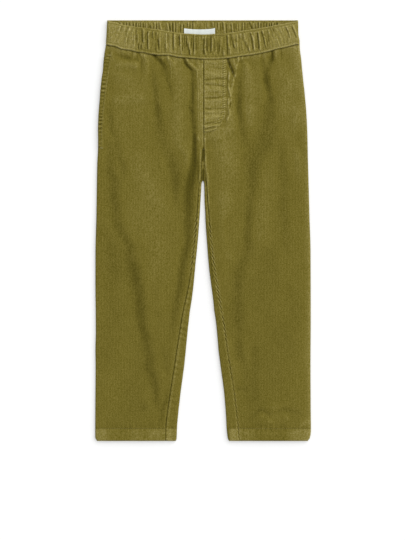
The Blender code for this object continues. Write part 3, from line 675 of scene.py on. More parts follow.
LEFT_FOLDS = (
    ((56, 36, 1.8, -1.8), (62, 38, 1.9, -2.4), (70, 41.4, 2, -2.8), (78, 44.4, 2, -2.4),
     (82, 45.6, 2.2, -1), (94, 47, 3, -0.3), (104, 48, 4, 0)),
    ((60, 50, 3.4, 0.3), (84, 46, 3.6, 0), (108, 43, 4, 0.3), (128, 41.4, 5, 0.7), (142, 41, 5, 1),
     (160, 40, 7, 1), (172, 38, 6, 0.2), (180, 38, 5, 0)),
    ((150, 18, 12, 0.6), (166, 14, 14, 1.2), (174, 12, 14, 0.9), (182, 14, 12, 0)),
    ((56, 59, 2.4, -0.6), (64, 57.5, 3, -0.2), (80, 56.5, 4, -0.6), (90, 55, 5, -1), (100, 54, 5.2, -1.1),
     (110, 53.8, 5, -1.3), (120, 53.5, 5, -1.75), (130, 52.8, 5, -1.85), (142, 54.8, 5.5, -1.6),
     (152, 56.5, 6, -1.3), (162, 57.5, 6.5, -1.2), (174, 59, 7, -0.8), (188, 64, 9, -0.4),
     (200, 70, 10, 0)),
    ((56, 88, 3.5, -0.4), (64, 89.5, 4, -0.9), (76, 90.5, 4, -0.7), (88, 92, 3.5, -0.4), (98, 93, 3, 0)),
    ((45, 103, 2.4, -1.6), (54, 102.5, 3.5, -2), (62, 101, 5.5, -1.6), (72, 97.5, 5.5, -1.2),
     (80, 95, 5, -1.4), (90, 95, 5, -2), (100, 96.8, 5, -1.8), (110, 98.5, 5.2, -1.3),
     (120, 100.5, 7, -1.15), (130, 98, 10, -0.9), (142, 97.5, 10, -1), (165, 95, 14, -0.95),
     (190, 89, 17, -1), (205, 80, 16, -1), (222, 75, 12, -1.15), (250, 73, 9, -1), (280, 69, 7.5, -1.1),
     (310, 67, 7, -1.2), (325, 65.5, 7.5, -1.15), (342, 67, 9, -1), (356, 64, 10, -0.7),
     (372, 55, 9, -0.7), (386, 51.5, 9, -0.8), (400, 51, 7.5, -1), (416, 51, 8, -0.6),
     (432, 52.5, 9, -0.6), (460, 53, 8, -0.55), (475, 54, 6, -0.35), (490, 53.5, 6, -0.9),
     (506, 56, 7, -0.8), (520, 61, 6, -0.35), (550, 63, 6, -0.3), (570, 61, 6, 0)),
    ((485, 76, 6, 0), (498, 75.5, 6, -0.45), (525, 75, 8, -0.4), (565, 75, 6, -0.2), (580, 75, 6, 0)),
    ((60, 62, 3, 0.6), (72, 66, 5, 1), (90, 69, 7, 0.6), (120, 69.5, 6, 0.6), (138, 71.5, 5.5, 1),
     (150, 71, 5.5, 0.6), (168, 70, 5, 0)),
    ((60, 114, 8, 0.2), (76, 122, 12, 0.6), (96, 129, 13, 1.1), (112, 124, 13, 0.8), (135, 121, 12, 0.6),
     (152, 119, 9, 0.2), (168, 124, 9, 0.3), (182, 127, 8, 0)),
    ((118, 142, 8, 0.2), (144, 140, 8, 0.8), (170, 138, 6, 0)),
    ((172, 118, 5, 0), (190, 117, 7, -0.5), (222, 119, 7.5, -0.75), (245, 119, 8, -0.65),
     (280, 119, 8, -0.7), (310, 121.5, 8, -0.6), (340, 122, 8, -0.35), (365, 124, 8, 0)),
    ((320, 112, 30, 0), (350, 108, 32, -0.25), (385, 104, 34, -0.4), (445, 104, 34, -0.35),
     (500, 108, 32, -0.25), (540, 108, 30, -0.1), (570, 108, 30, 0)),
    ((160, 32, 14, 0.5), (174, 25, 12, 0.8), (206, 34, 16, 0.7), (238, 38, 14, 0.45), (250, 35, 12, 0.4),
     (266, 34, 12, 1.1), (280, 34, 11, 0.9), (302, 27, 6, 0.5), (324, 30, 5, 0.4), (340, 34, 5, 0.2),
     (354, 41, 6, 0.4), (366, 42, 5, 0)),
    ((256, 93, 8, 0), (284, 95, 8, 0.2), (306, 91, 9, 0.2), (322, 88, 9, 0.35), (345, 95, 8, 0)),
    ((190, 139, 6, 0.3), (206, 143, 6, 0.8), (250, 146, 5, 0.2), (270, 146, 5, 0)),
    ((468, 38, 5, 0), (485, 38.5, 5.5, 0.5), (505, 41, 5.5, 0.4), (522, 46, 5.5, 0.5), (536, 47, 5, 0)),
)
LEFT_PUCKERS = (
    ((80, 36.2, 1.1, 0), (86, 36.2, 1.1, -0.3), (98, 36.2, 1.1, -0.4), (105, 36.2, 1.1, 0)),
    ((53, 53.8, 1.2, 0.5), (58, 53.4, 1.4, 2), (63, 52.6, 1.2, 0.3), (67, 50.6, 1.4, 1.7),
     (73, 49.8, 1.2, 0.7), (79, 49, 1.4, 0.3), (82, 48.2, 1.4, 1.9), (87, 47.4, 1.2, 0)),
    ((50, 59.6, 1.2, 0), (56, 58.6, 1.4, 1.4), (61, 58, 1.2, 0)),
    ((56, 46, 1.2, 0), (60, 46.4, 1.2, 1), (70, 48.4, 1.2, 0.7), (76, 49.6, 1.2, 0)),
    ((74, 38.8, 1.2, 0), (80, 39.6, 1.4, 1.7), (86, 39, 1.4, 2), (91, 38.6, 1.2, 0)),
    ((84, 46.2, 1.2, 0), (89, 45.6, 1.4, 1.5), (96, 44.6, 1.4, 1.4), (101, 44.2, 1.2, 0)),
    ((92, 38.2, 1.2, 0), (99, 38.4, 1.4, 1.7), (106, 39.8, 1.4, 2.4), (112, 41, 1.4, 1.5),
     (116, 41.6, 1.2, 0)),
    ((98, 43.4, 1.2, 0), (103, 42.8, 1.4, 1.9), (110, 42.6, 1.4, 0.5), (114, 42.6, 1.2, 0)),
    ((112, 43, 1.2, 0), (118, 42, 1.2, 1.2), (124, 41.4, 1.2, 0)),
    ((116, 38, 1.2, 0), (121, 38.4, 1.4, 2.2), (127, 38.4, 1.4, 1.7), (132, 38, 1.2, 0.3),
     (135, 39.4, 1.2, 1.7), (141, 40.2, 1.4, 1.4), (147, 37, 1.4, 1.9), (152, 36.6, 1.2, 0)),
    ((120, 40.6, 1.1, 0), (126, 40.4, 1.1, -1.4), (132, 39.4, 1.1, 0)),
    ((174, 2.4, 1.2, 0), (178, 2.6, 1.4, 1.3), (183, 2.8, 1.2, 0.3), (188, 3, 1.2, 0)),
    ((47, 103.8, 1.4, -1.1), (58, 104, 1.9, -0.8), (64, 103, 1.9, 0)),
    ((44, 108.6, 1.2, 0.8), (52, 109, 1.2, 0.5), (58, 109, 1.2, 0)),
    ((43, 117.6, 1.2, -0.6), (52, 118, 1.2, -0.6), (60, 118, 1.2, 0)),
    ((50, 78, 1.1, 1.1), (55, 78, 1.1, 0)),
    ((49, 86.6, 1.1, 1), (54, 86.6, 1.1, 0)),
    ((186, 6, 1.2, 0), (200, 4, 1.4, 0.4), (211, 3.6, 1.6, 1.3), (222, 4.6, 1.4, 0.5),
     (236, 7.2, 1.4, 1.1), (252, 6.2, 1.4, 0.8), (270, 8.4, 1.4, 0.7), (284, 9, 1.2, 0)),
    ((226, 4.4, 1.1, 0), (240, 4.8, 1.2, -0.7), (262, 5.6, 1.4, -0.8), (280, 6.6, 1.2, 0)),
)
LEFT_CREASES = (
    ((50, 64, 2.4, 0), (56, 62, 2.4, -0.7), (64, 60, 2.4, -0.5), (70, 58, 2.4, 0)),
    ((44, 553, 3, 0), (52, 553, 3.5, -0.6), (60, 554, 3, -0.4), (68, 553, 3, 0)),
    ((64, 602, 3, 0), (72, 598, 3, -0.4), (78, 591, 2.6, -0.5), (86, 585, 3, -0.7), (94, 587, 3, -0.6),
     (100, 591, 2.6, -0.5), (106, 590, 3, -0.2), (112, 587, 3, -0.4), (120, 584, 3, -0.7),
     (130, 586, 3.4, -0.6), (152, 590, 4, 0)),
    ((80, 594, 2.4, 0), (88, 594, 2.6, 0.5), (94, 597, 2.6, 0.3), (100, 602, 2.8, 0.5),
     (108, 602, 2.8, 0)),
    ((118, 598, 3.4, 0), (125, 597, 3.4, 0.7), (131, 597, 3.4, 0)),
    ((98, 581, 4, 0), (106, 580, 4.5, 0.5), (120, 577, 4, 0)),
    ((76, 608, 3, 0), (84, 609, 3.4, -0.7), (94, 609, 3.4, -0.6), (104, 608, 3, -0.2),
     (114, 608, 2.6, -0.3), (119, 609, 2.6, -0.7), (126, 609, 3, 0)),
    ((138, 612, 4, 0), (149, 606, 5, 0.9), (160, 600, 5, 0.9)),
)
LEFT_TWIST = (
    (194, 0), (280, 0), (305, 0.4), (325, 1), (440, 1), (470, 0.6), (500, 0.45), (560, 0.35), (590, 0.6),
    (631, 0.4),
)
left_leg = Leg(1, LEFT_SIDE, LEFT_INNER, LEFT_FOLDS, LEFT_CREASES, LEFT_PUCKERS, LEFT_TWIST)


def roll_lift(level):
    """The rolled edge lies on the pocket's own turned edge."""
    return 1.1 * np.clip(min(level - 47, 196 - level) / 5, 0, 1)


front_left = cloth_piece("cloth_front_left", [front_row(left_leg, level) for level in FRONT_LEVELS],
                         [leg_corduroy, cloth_back])
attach(front_left, "root")
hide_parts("front_left")

# ---------------------------------------------------------------------------------------
# Backs. Two cuts of the same corduroy that lie on the surface. Below the crotch each one
# wraps round the inner edge of its leg, up to the inseam on the front, so the ribs slant
# there.

CENTRE_BACK_TOP = -15.8   # x of the centre-back seam at the waistband
BACK_LEVELS = np.concatenate((
    np.arange(SEAM_AT_BACK + 0.25, CROTCH - 2, 3.6), (CROTCH - 0.3, CROTCH + 0.02),
    np.arange(CROTCH + 2, 480, 1.9), np.arange(480, HEM - 3, 3.0), np.arange(HEM - 2.2, HEM + 3, 0.9),
    np.arange(HEM + 3.4, LENGTH - 1.5, 3.0), (LENGTH - 1.2, LENGTH - 0.5, LENGTH),
))
# Soft creases where the back lifts off the surface: level, out, half-width, height
BACK_FOLDS = (
    ((60, 38, 5, 0), (92, 43, 6, 0.5), (140, 37, 7, 0.4), (188, 26, 6, 0)),
    ((50, 86, 4, 0.3), (96, 90, 6, 0.6), (170, 80, 8, 0.35), (250, 66, 7, 0)),
    ((112, 129, 6, 0), (186, 122, 8, 0.6), (280, 119, 9, 0.45), (390, 106, 8, 0)),
    ((300, 94, 8, 0), (395, 84, 9, 0.55), (490, 75, 8, 0.45), (575, 70, 7, 0)),
    ((420, 130, 8, 0), (500, 126, 11, 0.4), (590, 120, 9, 0)),
)
# The strip of the back that lies beside the inseam turns down where the left one is
# twisted: level, how dark
STRIP_SHADE = {
    -1: ((194, 0.0), (631, 0.0)),
    1: ((194, 0.0), (296, 0.0), (318, 0.36), (375, 0.36), (400, 0.14), (425, 0.06), (470, 0.02), (631, 0.0)),
}


def back_row(leg, level):
    """One row of a back, from the inseam or the centre back out to the side seam."""
    fold_at = leg.side_out(level) - EDGE
    if leg.sign < 0:
        end = fold_at + EDGE * (np.pi - SIDE_SEAM_ANGLE - 0.15)
    else:
        end = leg.side_out(level) - LEFT_ROLL - SEAM
    inner_fold = leg.inner_out(level) + EDGE
    if level < CROTCH:
        down = (level - SEAM_AT_BACK) / (CROTCH - SEAM_AT_BACK)
        start = leg.sign * (CENTRE_BACK_TOP + (CENTRE_SEAM - CENTRE_BACK_TOP) * down) + SEAM / 2
        inner_fold = start
    else:
        start = inner_fold - np.pi * EDGE - (leg.inseam_out(level) - SEAM / 2 - inner_fold)
    place = wale_places(start, end)
    side_turn = np.clip((place - fold_at) / EDGE, 0, np.pi)
    turn = np.clip((inner_fold - place) / EDGE, 0, np.pi)
    past = np.clip(inner_fold - place - np.pi * EDGE, 0, None)
    out = np.clip(place, inner_fold, fold_at) + EDGE * np.sin(side_turn) - EDGE * np.sin(turn) + past
    x = leg.sign * out
    from_inseam = leg.inseam_out(level) - out
    on_top = past > 0
    rope = strands(leg, level, -from_inseam) * on_top
    ladder = pucker(level, from_inseam, 8.6, 10.0, 0.5 if leg.sign < 0 else 0.2, lean=-0.3)
    rise = (1 - 0.7 * smooth(leg.twist, level)) * seam_dip(from_inseam) + hem_rise(x, level)
    rise += ladder + TWIST_HEIGHT * rope
    rise += 0.7 * folded(leg.puckers, level + 0 * x, x) * on_top - 1.3 * crotch_shade(x, level)
    away_from_turns = np.clip(np.minimum(fold_at - place, place - inner_fold) / 8, 0, 1)
    lifted = folded(BACK_FOLDS, level + 0 * out, out + 3.0 * leg.sign) * away_from_turns
    height = EDGE * (1 - np.cos(np.maximum(turn, side_turn))) + lifted
    z = np.where(on_top, leg.top(out, level) + rise, height + rise * np.clip(turn / 1.2 - 1.6, 0, 1))
    facing_x = leg.sign * (np.sin(side_turn) - np.sin(turn))
    facing_z = -np.cos(np.maximum(turn, side_turn))
    small = rise - HEM_RAISE * (level > HEM)
    # A pale line by the inseam and painted light and shade on the strip's ripples, folds and strands;
    # painted shade where the strip faces away from the light, along lifted creases and between the legs.
    pale_at, pale = (2.8, 0.36) if leg.sign < 0 else (1.6, 0.3)
    wear_and_shading = (pale * np.exp(-((from_inseam - pale_at) / 1.3) ** 2) + SMALL_SHADE * small) * (turn > 1.5)
    shaded = smooth(STRIP_SHADE[leg.sign], level) * np.clip((from_inseam - 1) / 2, 0, 1)
    wear_and_shading = wear_and_shading + (FOLD_SHADE * leg.crease(x, level) - 0.05 - shaded + TWIST_SHADING * rope) * on_top
    wear_and_shading = wear_and_shading + hem_paleness(x, level) - crotch_shade(x, level) - 0.25 * lifted
    row = Row(place, x, level, z, facing_x, facing_z, wear_and_shading)
    row.widening = inner_fold
    return row


first_leg_row = int(np.searchsorted(BACK_LEVELS, CROTCH))
for leg, name in ((right_leg, "right"), (left_leg, "left")):
    back = cloth_piece("cloth_back_" + name, [back_row(leg, level) for level in BACK_LEVELS],
                       [leg_corduroy, cloth_back], widens_at=first_leg_row)
    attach(back, "root")
    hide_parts("back_" + name)

# ---------------------------------------------------------------------------------------
# Waistband. One strip of corduroy folded over wide elastic and joined at the centre back.
# The elastic gathers it into uneven upright puckers, front and back. Its lower edge is
# stitched down, which leaves a thin rolled edge there.

BAND_TOP = (              # x, level of the front's top edge
    (-143, 1.6), (-135, 2.7), (-130, 3.5), (-125, 5.4), (-120, 6.8), (-115, 7.5), (-110, 8.4),
    (-105, 9.2), (-100, 10.1), (-90, 11), (-84, 11.5), (-79, 12.7), (-70, 13.5), (-65, 14.2), (-59, 15.6),
    (-50, 16.7), (-40, 18.4), (-30, 19.6), (-18, 20.4), (0, 21.3), (10, 21), (20, 20.3), (30, 20.2),
    (35, 19.6), (41, 18.5), (50, 17.5), (60, 15.5), (70, 14.2), (79, 12.9), (85, 11.7), (91, 10.8),
    (100, 9.4), (110, 7.1), (120, 5.5), (130, 3.5), (136, 2.3), (143, 1.9),
)
CASING = 3.0              # thickness of the casing with its elastic
BAND_STACK = 7.6
FOLD_STANDS = 0.65
END_ROLL = 0.35           # the edges roll less where the casing turns at the sides
GATHERS = 45
GATHER_SHADING = 1.0         # ridges painted paler, as rubbed and lit, and half as much painted shade between them
# The gathers that show: x and level of the upper end, x and level of the lower end,
# half-width, and height, below 0 for a furrow between two gathers
FRONT_GATHERS = (
    (-142, 12, -143, 26, 0.8, -0.8), (-141, 4, -141.5, 14, 0.9, 0.8), (-130, 8, -133, 15, 0.9, 1),
    (-133, 15, -138, 27, 0.9, 0.8), (-132, 12, -137, 23, 0.8, -0.7), (-124, 9, -127, 18, 0.9, 1.2),
    (-121.5, 8, -123.8, 15, 0.8, -0.9), (-117, 9, -119, 17, 0.9, 0.7), (-110, 10, -111, 15, 0.9, 1.1),
    (-111, 14, -113.4, 22, 1, 1.4), (-113.4, 11, -116.2, 18, 0.8, -1), (-104.5, 13, -106.5, 22, 0.9, 0.9),
    (-106.5, 22, -105.6, 30, 0.9, 0.8), (-114.4, 25, -115.9, 33, 0.8, 1.1),
    (-112.8, 26, -114.2, 34, 0.7, -0.9), (-102.3, 19, -103, 39, 0.8, 1.1),
    (-100.8, 14, -101.2, 30, 0.8, -0.8), (-99, 15, -99.8, 22, 0.8, 0.8), (-97, 21, -97, 33, 0.8, 0.7),
    (-97.8, 35, -96.6, 43, 0.7, -1.1), (-95, 37, -94.9, 43, 0.7, 1), (-93.4, 37, -93.4, 43, 0.7, -1),
    (-91.9, 15, -90.9, 33, 0.9, -1.2), (-89, 13, -88.6, 33, 1.1, 1.2), (-91, 34, -91, 41, 0.9, 0.8),
    (-86.9, 20, -86.5, 31, 0.9, -0.7), (-83.4, 17, -83.4, 27, 0.8, -1.1),
    (-83.6, 28, -83.5, 43, 0.8, -1.3), (-80, 16, -82, 22, 0.9, 1.2), (-82, 21, -81.2, 43, 0.9, 1.2),
    (-85, 38, -85, 43, 0.8, 0.8), (-76.5, 18, -76.6, 27, 0.9, -0.8), (-74.5, 17, -74, 26, 0.9, 0.9),
    (-71, 18, -71.4, 30, 1, -0.7), (-68, 18, -68, 23, 0.8, 0.8), (-67.6, 28, -66.2, 45, 0.8, -1.2),
    (-64.6, 26, -64.6, 36, 0.9, 0.9), (-68.4, 40, -68, 47, 0.9, 0.6), (-72, 34, -71.8, 46, 0.9, -0.7),
    (-65, 17, -65, 25, 0.9, 0.6), (-60.5, 26, -60.2, 44, 0.9, -0.6), (-54.6, 19, -55, 42, 0.9, 1.2),
    (-53.1, 19, -53.4, 34, 0.8, -0.8), (-57.6, 36, -57.2, 46, 0.8, -0.7),
    (-49.6, 26, -49.4, 47, 0.9, 0.5), (-45.6, 19, -45, 45, 0.8, -1.1), (-43, 20, -43, 41, 0.9, 1.2),
    (-47, 39, -47, 49, 0.8, 0.6), (-41, 43, -41, 50, 0.8, 0.6), (-39.6, 24, -39.4, 38, 0.9, -0.6),
    (-36, 23, -35.5, 38, 0.8, -1), (-34, 21, -33.4, 38, 0.9, 1.2), (-33.4, 37, -32, 51, 0.9, 1),
    (-31.4, 23, -31, 46, 0.8, -0.8), (-28.2, 23, -27.8, 42, 0.8, -1), (-25.1, 23, -25, 40, 0.8, -1),
    (-23.5, 23, -23, 35, 0.8, 0.7), (-20.6, 33, -20.6, 44, 1, 1.2), (-23, 35, -22.4, 44, 0.8, -1),
    (-21, 43, -20.6, 52, 0.8, -1.4), (-18.8, 43, -18.5, 51, 0.8, 1.1), (-17.6, 26, -17.4, 42, 0.9, -0.7),
    (-14.5, 23, -14.2, 46, 0.8, -1), (-12.5, 22, -12.7, 51, 0.9, 1.2), (-10.8, 23, -10.8, 45, 0.8, -0.8),
    (-0.6, 23, 0, 29, 0.8, 1), (0.8, 27, 1.2, 36, 0.8, -1.2), (4, 23, 3.8, 39, 0.9, 1),
    (5.6, 27, 5.6, 46, 0.9, -0.9), (-1.8, 33, -1.4, 45, 0.8, 0.9), (0, 36, 0.2, 51, 0.8, -1),
    (3, 43, 4, 52, 0.9, 1), (8.6, 26, 8.4, 40, 0.8, -0.7), (11.6, 24, 11.1, 49, 0.9, -1.1),
    (13.8, 27, 13.8, 47, 1, 1), (16.4, 29, 16.6, 47, 0.9, -0.9), (17, 23, 19, 31, 0.9, 0.6),
    (22, 32, 22, 51, 0.8, -0.9), (24.6, 36, 24.6, 47, 0.7, -0.8), (19.4, 40, 19.4, 52, 0.8, 0.5),
    (31, 45, 31.6, 53, 0.9, 1), (28.2, 38, 28, 50, 0.8, -0.6), (35.6, 23, 36.6, 52, 1.2, -1.2),
    (37, 22, 38.6, 42, 1, 1.1), (40, 23, 40.8, 38, 0.8, -0.8), (41, 41, 41, 51, 0.9, 1),
    (41.5, 21, 42.6, 28, 0.9, -1.1), (42.6, 28, 46.8, 42, 0.9, -1.2), (46.6, 33, 48.2, 41, 0.9, 0.9),
    (50.5, 21, 51, 31, 0.9, 1), (51, 33, 52.4, 49, 0.9, 1.1), (49, 27, 49.2, 33, 0.8, -0.8),
    (53.8, 24, 54.4, 46, 0.8, -0.7), (56.5, 19, 56.6, 25, 1, 1.1), (58.3, 19, 58.8, 31, 0.8, -0.8),
    (61.4, 19, 62.6, 31, 0.9, 1), (62.8, 33, 64.8, 41, 0.8, -1), (65, 29, 66.2, 38, 0.9, 0.7),
    (68.4, 39, 70.2, 47, 1, 1.1), (66, 35, 67.8, 46, 0.8, -1), (70.4, 19, 73, 30, 0.9, -1.1),
    (73, 30, 75, 43, 0.9, -1.1), (72, 18, 75.4, 28, 1, 1.2), (75.4, 27, 77.6, 46, 1, 1.2),
    (79, 26, 79.6, 42, 0.9, -0.6), (81.4, 19, 83.6, 43, 0.9, -1.2), (83, 17, 84.6, 30, 1, 1.1),
    (84.6, 30, 86.2, 45, 1, 1), (87.4, 17, 90.6, 27, 0.9, -1.2), (90.6, 27, 94, 43, 0.9, -1.3),
    (89, 15, 91, 21, 1, 1.1), (92, 24, 94.2, 39, 0.9, 1), (97.4, 23, 100, 41, 0.8, -1),
    (95.4, 26, 96.6, 38, 0.8, -0.6), (98, 14, 99.6, 20, 0.9, 1), (101, 13, 104, 19, 0.8, -1),
    (104, 12, 107, 18, 0.8, -0.8), (98.8, 33, 99.4, 41, 0.8, 0.8), (114.6, 11, 118, 19, 0.9, 0.8),
    (110, 24, 115, 39, 1, 0.7), (124, 8, 127.4, 15, 1, 1.2), (124.4, 11, 127.6, 20, 0.8, -1.2),
    (127.6, 20, 129.4, 26, 0.8, -0.9), (129, 18, 130.8, 26, 0.9, 0.8), (133, 10, 137, 20, 0.8, -1.1),
    (137, 20, 139.4, 26, 0.8, -1), (141.3, 2, 142, 18, 0.8, -1.3), (134.4, 7, 138, 16, 1, 1.3),
    (138, 16, 140.4, 22, 0.9, 1),
)
BACK_GATHERS = (
    (-126, 3, -125, 7, 1, -1.2), (-122.8, 3, -122.8, 7, 0.8, 1.1), (-119.6, 3, -119.6, 7, 0.9, -1.2),
    (-115, 3, -115, 8, 0.8, -1.1), (-113, 3, -113, 8, 0.7, 1.3), (-111, 3, -111, 8, 0.8, -1.2),
    (-107, 3, -107, 9, 0.7, 1), (-105, 3, -105, 9, 0.8, -1.1), (-103.5, 4, -103.5, 10, 0.7, 0.9),
    (-101, 3, -101, 10, 0.9, -1.2), (-98.4, 3, -98.4, 11, 0.7, 1.1), (-96.8, 4, -96.8, 11, 0.7, -0.7),
    (-95.4, 5, -95.4, 11, 0.7, 0.6), (-93.6, 3, -93.6, 12, 0.7, -1), (-92, 3, -92, 12, 0.7, 1.2),
    (-90.3, 3, -90.3, 12, 0.8, -1), (-88, 3, -88, 8, 0.8, 0.7), (-86.4, 3, -86.4, 12, 0.7, -0.9),
    (-84.7, 3, -84.7, 13, 0.7, 1.2), (-82.8, 3, -82.8, 12, 0.8, -0.9), (-79.4, 7, -79, 12, 1.2, -1.4),
    (-77, 6, -76.6, 14, 0.8, 0.9), (-74.5, 3, -74.4, 14, 0.8, -0.9), (-72, 3, -72, 14, 0.9, 1.1),
    (-70, 3, -70, 14, 0.7, -1), (-68, 3, -68, 14, 0.7, 1.2), (-66.6, 3, -66.4, 15, 0.7, -1.1),
    (-65, 3, -63, 13, 0.9, 1), (-62, 10, -62, 16, 0.8, 1), (-61, 3, -60.4, 10, 0.9, -0.6),
    (-53.6, 3, -51, 17, 0.9, 1.2), (-51.6, 3, -49.6, 12, 0.8, -0.9), (-49.3, 9, -49.3, 17, 0.8, -1),
    (-48, 3, -47.8, 17, 0.8, 0.7), (-46.3, 3, -46.1, 18, 0.7, -1), (-45.2, 3, -45.2, 18, 0.7, -0.8),
    (-43.3, 3, -43.3, 18, 0.9, 1.2), (-41.5, 3, -41.5, 18, 0.7, -1.1), (-39, 3, -39, 18, 0.9, 0.6),
    (-36, 3, -36, 7, 0.9, 0.9), (-34, 6, -34, 18, 0.8, -1), (-31.5, 6, -31.5, 20, 1, 1.1),
    (-29.5, 6, -29.4, 20, 0.8, -0.9), (-24, 3, -24, 9, 0.8, -0.8), (-22, 3, -22, 8, 0.8, 0.9),
    (-20, 3, -20, 11, 0.8, -0.7), (-17.6, 3, -17.6, 11, 0.8, 0.6), (-14, 3, -14, 8, 0.8, 0.7),
    (7, 3, 7, 11, 0.8, 1), (5.2, 3, 5.2, 10, 0.7, -0.5), (10.5, 3, 10.5, 9, 0.8, -0.9),
    (12.9, 3, 13, 8, 0.7, -0.8), (15, 2, 15, 8, 0.8, 1.1), (17, 3, 17, 10, 0.7, -0.7),
    (18.6, 3, 18.6, 12, 0.8, 0.6), (21.5, 3, 21.5, 14, 0.8, -1), (23.5, 3, 23.5, 14, 0.9, 1.2),
    (26, 4, 26.2, 16, 0.9, -0.9), (22, 15, 22, 20, 0.9, 0.7), (29, 3, 29.4, 14, 0.8, -1),
    (31, 2, 32, 9, 1, 1.2), (32, 9, 33, 19, 0.9, 1.1), (34.6, 5, 34.8, 18, 0.8, -0.9),
    (39.5, 4, 39.5, 13, 0.9, 0.6), (42, 5, 42.6, 18, 0.8, -1), (43, 3, 44.6, 18, 0.8, 1.2),
    (46, 3, 46.6, 18, 0.8, -1), (51.2, 4, 51.2, 11, 0.8, 0.7), (49.4, 4, 49.4, 13, 0.8, -0.7),
    (55, 9, 55, 15, 0.8, 0.6), (53.4, 6, 53.4, 15, 0.8, -0.6), (58.8, 3, 58.8, 16, 0.8, -0.9),
    (60.5, 3, 60.5, 16, 0.9, 1.2), (62.5, 3, 62.5, 15, 0.8, -0.7), (66.6, 4, 66.6, 12, 0.9, -0.6),
    (71.5, 2, 71.5, 7, 0.9, 1), (69.8, 3, 73.6, 12, 1, -1.4), (76, 4, 76.5, 13, 0.9, 1),
    (78.2, 4, 78.2, 12, 0.7, -0.7), (79.6, 3, 79.6, 8, 0.8, 0.7), (83, 3, 83, 12, 0.8, -1),
    (84.8, 2, 84.8, 12, 0.9, 1.2), (86.6, 3, 86.6, 12, 0.8, -0.9), (90.6, 3, 90.6, 11, 1.1, -0.8),
    (95.5, 4, 95.5, 10, 0.8, -1.2), (97.2, 5, 97.2, 10, 0.8, 1.2), (99.4, 4, 99.4, 10, 0.8, -1),
    (101, 4, 101, 9, 0.7, 1.1), (102.8, 3, 102.8, 9, 0.7, -1.4), (104.8, 3, 104.8, 9, 0.8, 1.4),
    (107, 3, 107, 9, 0.8, -1.1), (111, 3, 111, 8, 0.9, -1.5), (113.6, 3, 113.6, 8, 0.8, 1.4),
)
BAND_DOWN = np.concatenate((
    (0.0, 0.012, 0.03, 0.055, 0.075, 0.087, 0.098, 0.11, 0.128, 0.146), np.arange(0.17, 0.88, 0.035),
    np.arange(0.885, 0.99, 0.0125), (1.0,),
))
WAIST_WEAR_AND_LIGHT = (            # x, how pale the casing is: rubbed, with a painted highlight strongest towards the ends
    (-146, 0.2), (-138, 0.45), (-104, 0.4), (-98, 0.05), (-70, 0.03), (-60, 0.25), (-40, 0.18),
    (-20, 0.05), (25, 0), (45, 0.22), (75, 0.18), (100, 0.22), (108, 0.45), (138, 0.48), (146, 0.3),
)
band_corduroy = corduroy("gathered_corduroy", crown=(0.190, 0.156, 0.028), furrow=(0.082, 0.065, 0.0075),
                         wear_and_shading=(0.36, 0.31, 0.115))
BAND_PALE = 0.52          # the band's paler colour, for rubbing and painted light, is paler than the legs', so it is reached less
BAND_COLUMNS = 561        # points along the front and along the back
END_POINTS = 19           # points round each end, with the two that the front and the back have
JOIN_GAP = 0.00005        # half the gap at the centre-back join, as a part of the band's width
LABEL_MIDDLE = -5.2       # x of the label
LABEL_ROOM = 24.0         # half its width and a little more: there are no gathers under it


def gather_wave(u, down, lean, count=GATHERS):
    """Height of the puckers, from -1 to 1, a part u across and a part down the casing."""
    turn = count * (u + 0.0042 * np.sin(2 * np.pi * 7 * u) + 0.0024 * np.sin(2 * np.pi * 17 * u + 1.3))
    turn = turn + lean * (down - 0.5) * np.sin(2 * np.pi * 5.3 * u + 0.4)
    turn = turn + 0.09 * np.sin(5.5 * down + 23 * u)
    crest = 0.5 + 0.5 * np.cos(2 * np.pi * turn)
    own = np.floor(turn + 0.5)
    strength = 0.62 + 0.38 * np.sin(own * 2.4) * np.cos(own * 1.1 + 3 * down)
    between = 0.5 + 0.5 * np.cos(2 * np.pi * (2.3 * turn + 0.7 * np.sin(own)))
    wave = (2 * crest ** 1.15 - 1) * strength + 0.45 * (2 * between ** 1.5 - 0.8) * (1.1 - strength)
    return np.sign(wave) * np.abs(wave) ** 1.35


def gathered(table, x, level):
    """Height of the gathers at each point. Each is a straight ridge or furrow with soft ends."""
    total = np.zeros(np.shape(x))
    for x_high, high, x_low, low, half_width, height in table:
        middle = x_high + (x_low - x_high) * (level - high) / (low - high)
        ends = np.clip((level - high) / 1.5 + 0.5, 0, 1) * np.clip((low - level) / 1.5 + 0.5, 0, 1)
        total += height * ends * np.exp(-((x - middle) / half_width) ** 2)
    return total


def stands_up(down):
    """The folded top edge stands a little above the elastic."""
    return FOLD_STANDS * np.exp(-(down / 0.12) ** 2)


def casing_profile(down):
    """How much of a gather shows at each height, and the rolls at the two edges."""
    shown = np.clip((down - 0.05) / 0.12, 0, 1) * np.clip((0.93 - down) / 0.13, 0, 1)
    top_roll = -0.7 * np.exp(-(down / 0.02) ** 2) - 0.35 * np.exp(-((down - 0.07) / 0.018) ** 2)
    low_roll = (-0.55 * np.exp(-((down - 0.905) / 0.02) ** 2)
                - 1.0 * np.exp(-((1 - down) / 0.022) ** 2) + 0.15 * np.exp(-((down - 0.955) / 0.02) ** 2))
    return shown, top_roll + low_roll


def band_edge(sign, level):
    return sign * (right_leg if sign < 0 else left_leg).side_out(level)


def band_x(u, level):
    left = band_edge(-1, level) + BAND_STACK / 2
    return left + (band_edge(1, level) - BAND_STACK / 2 - left) * u


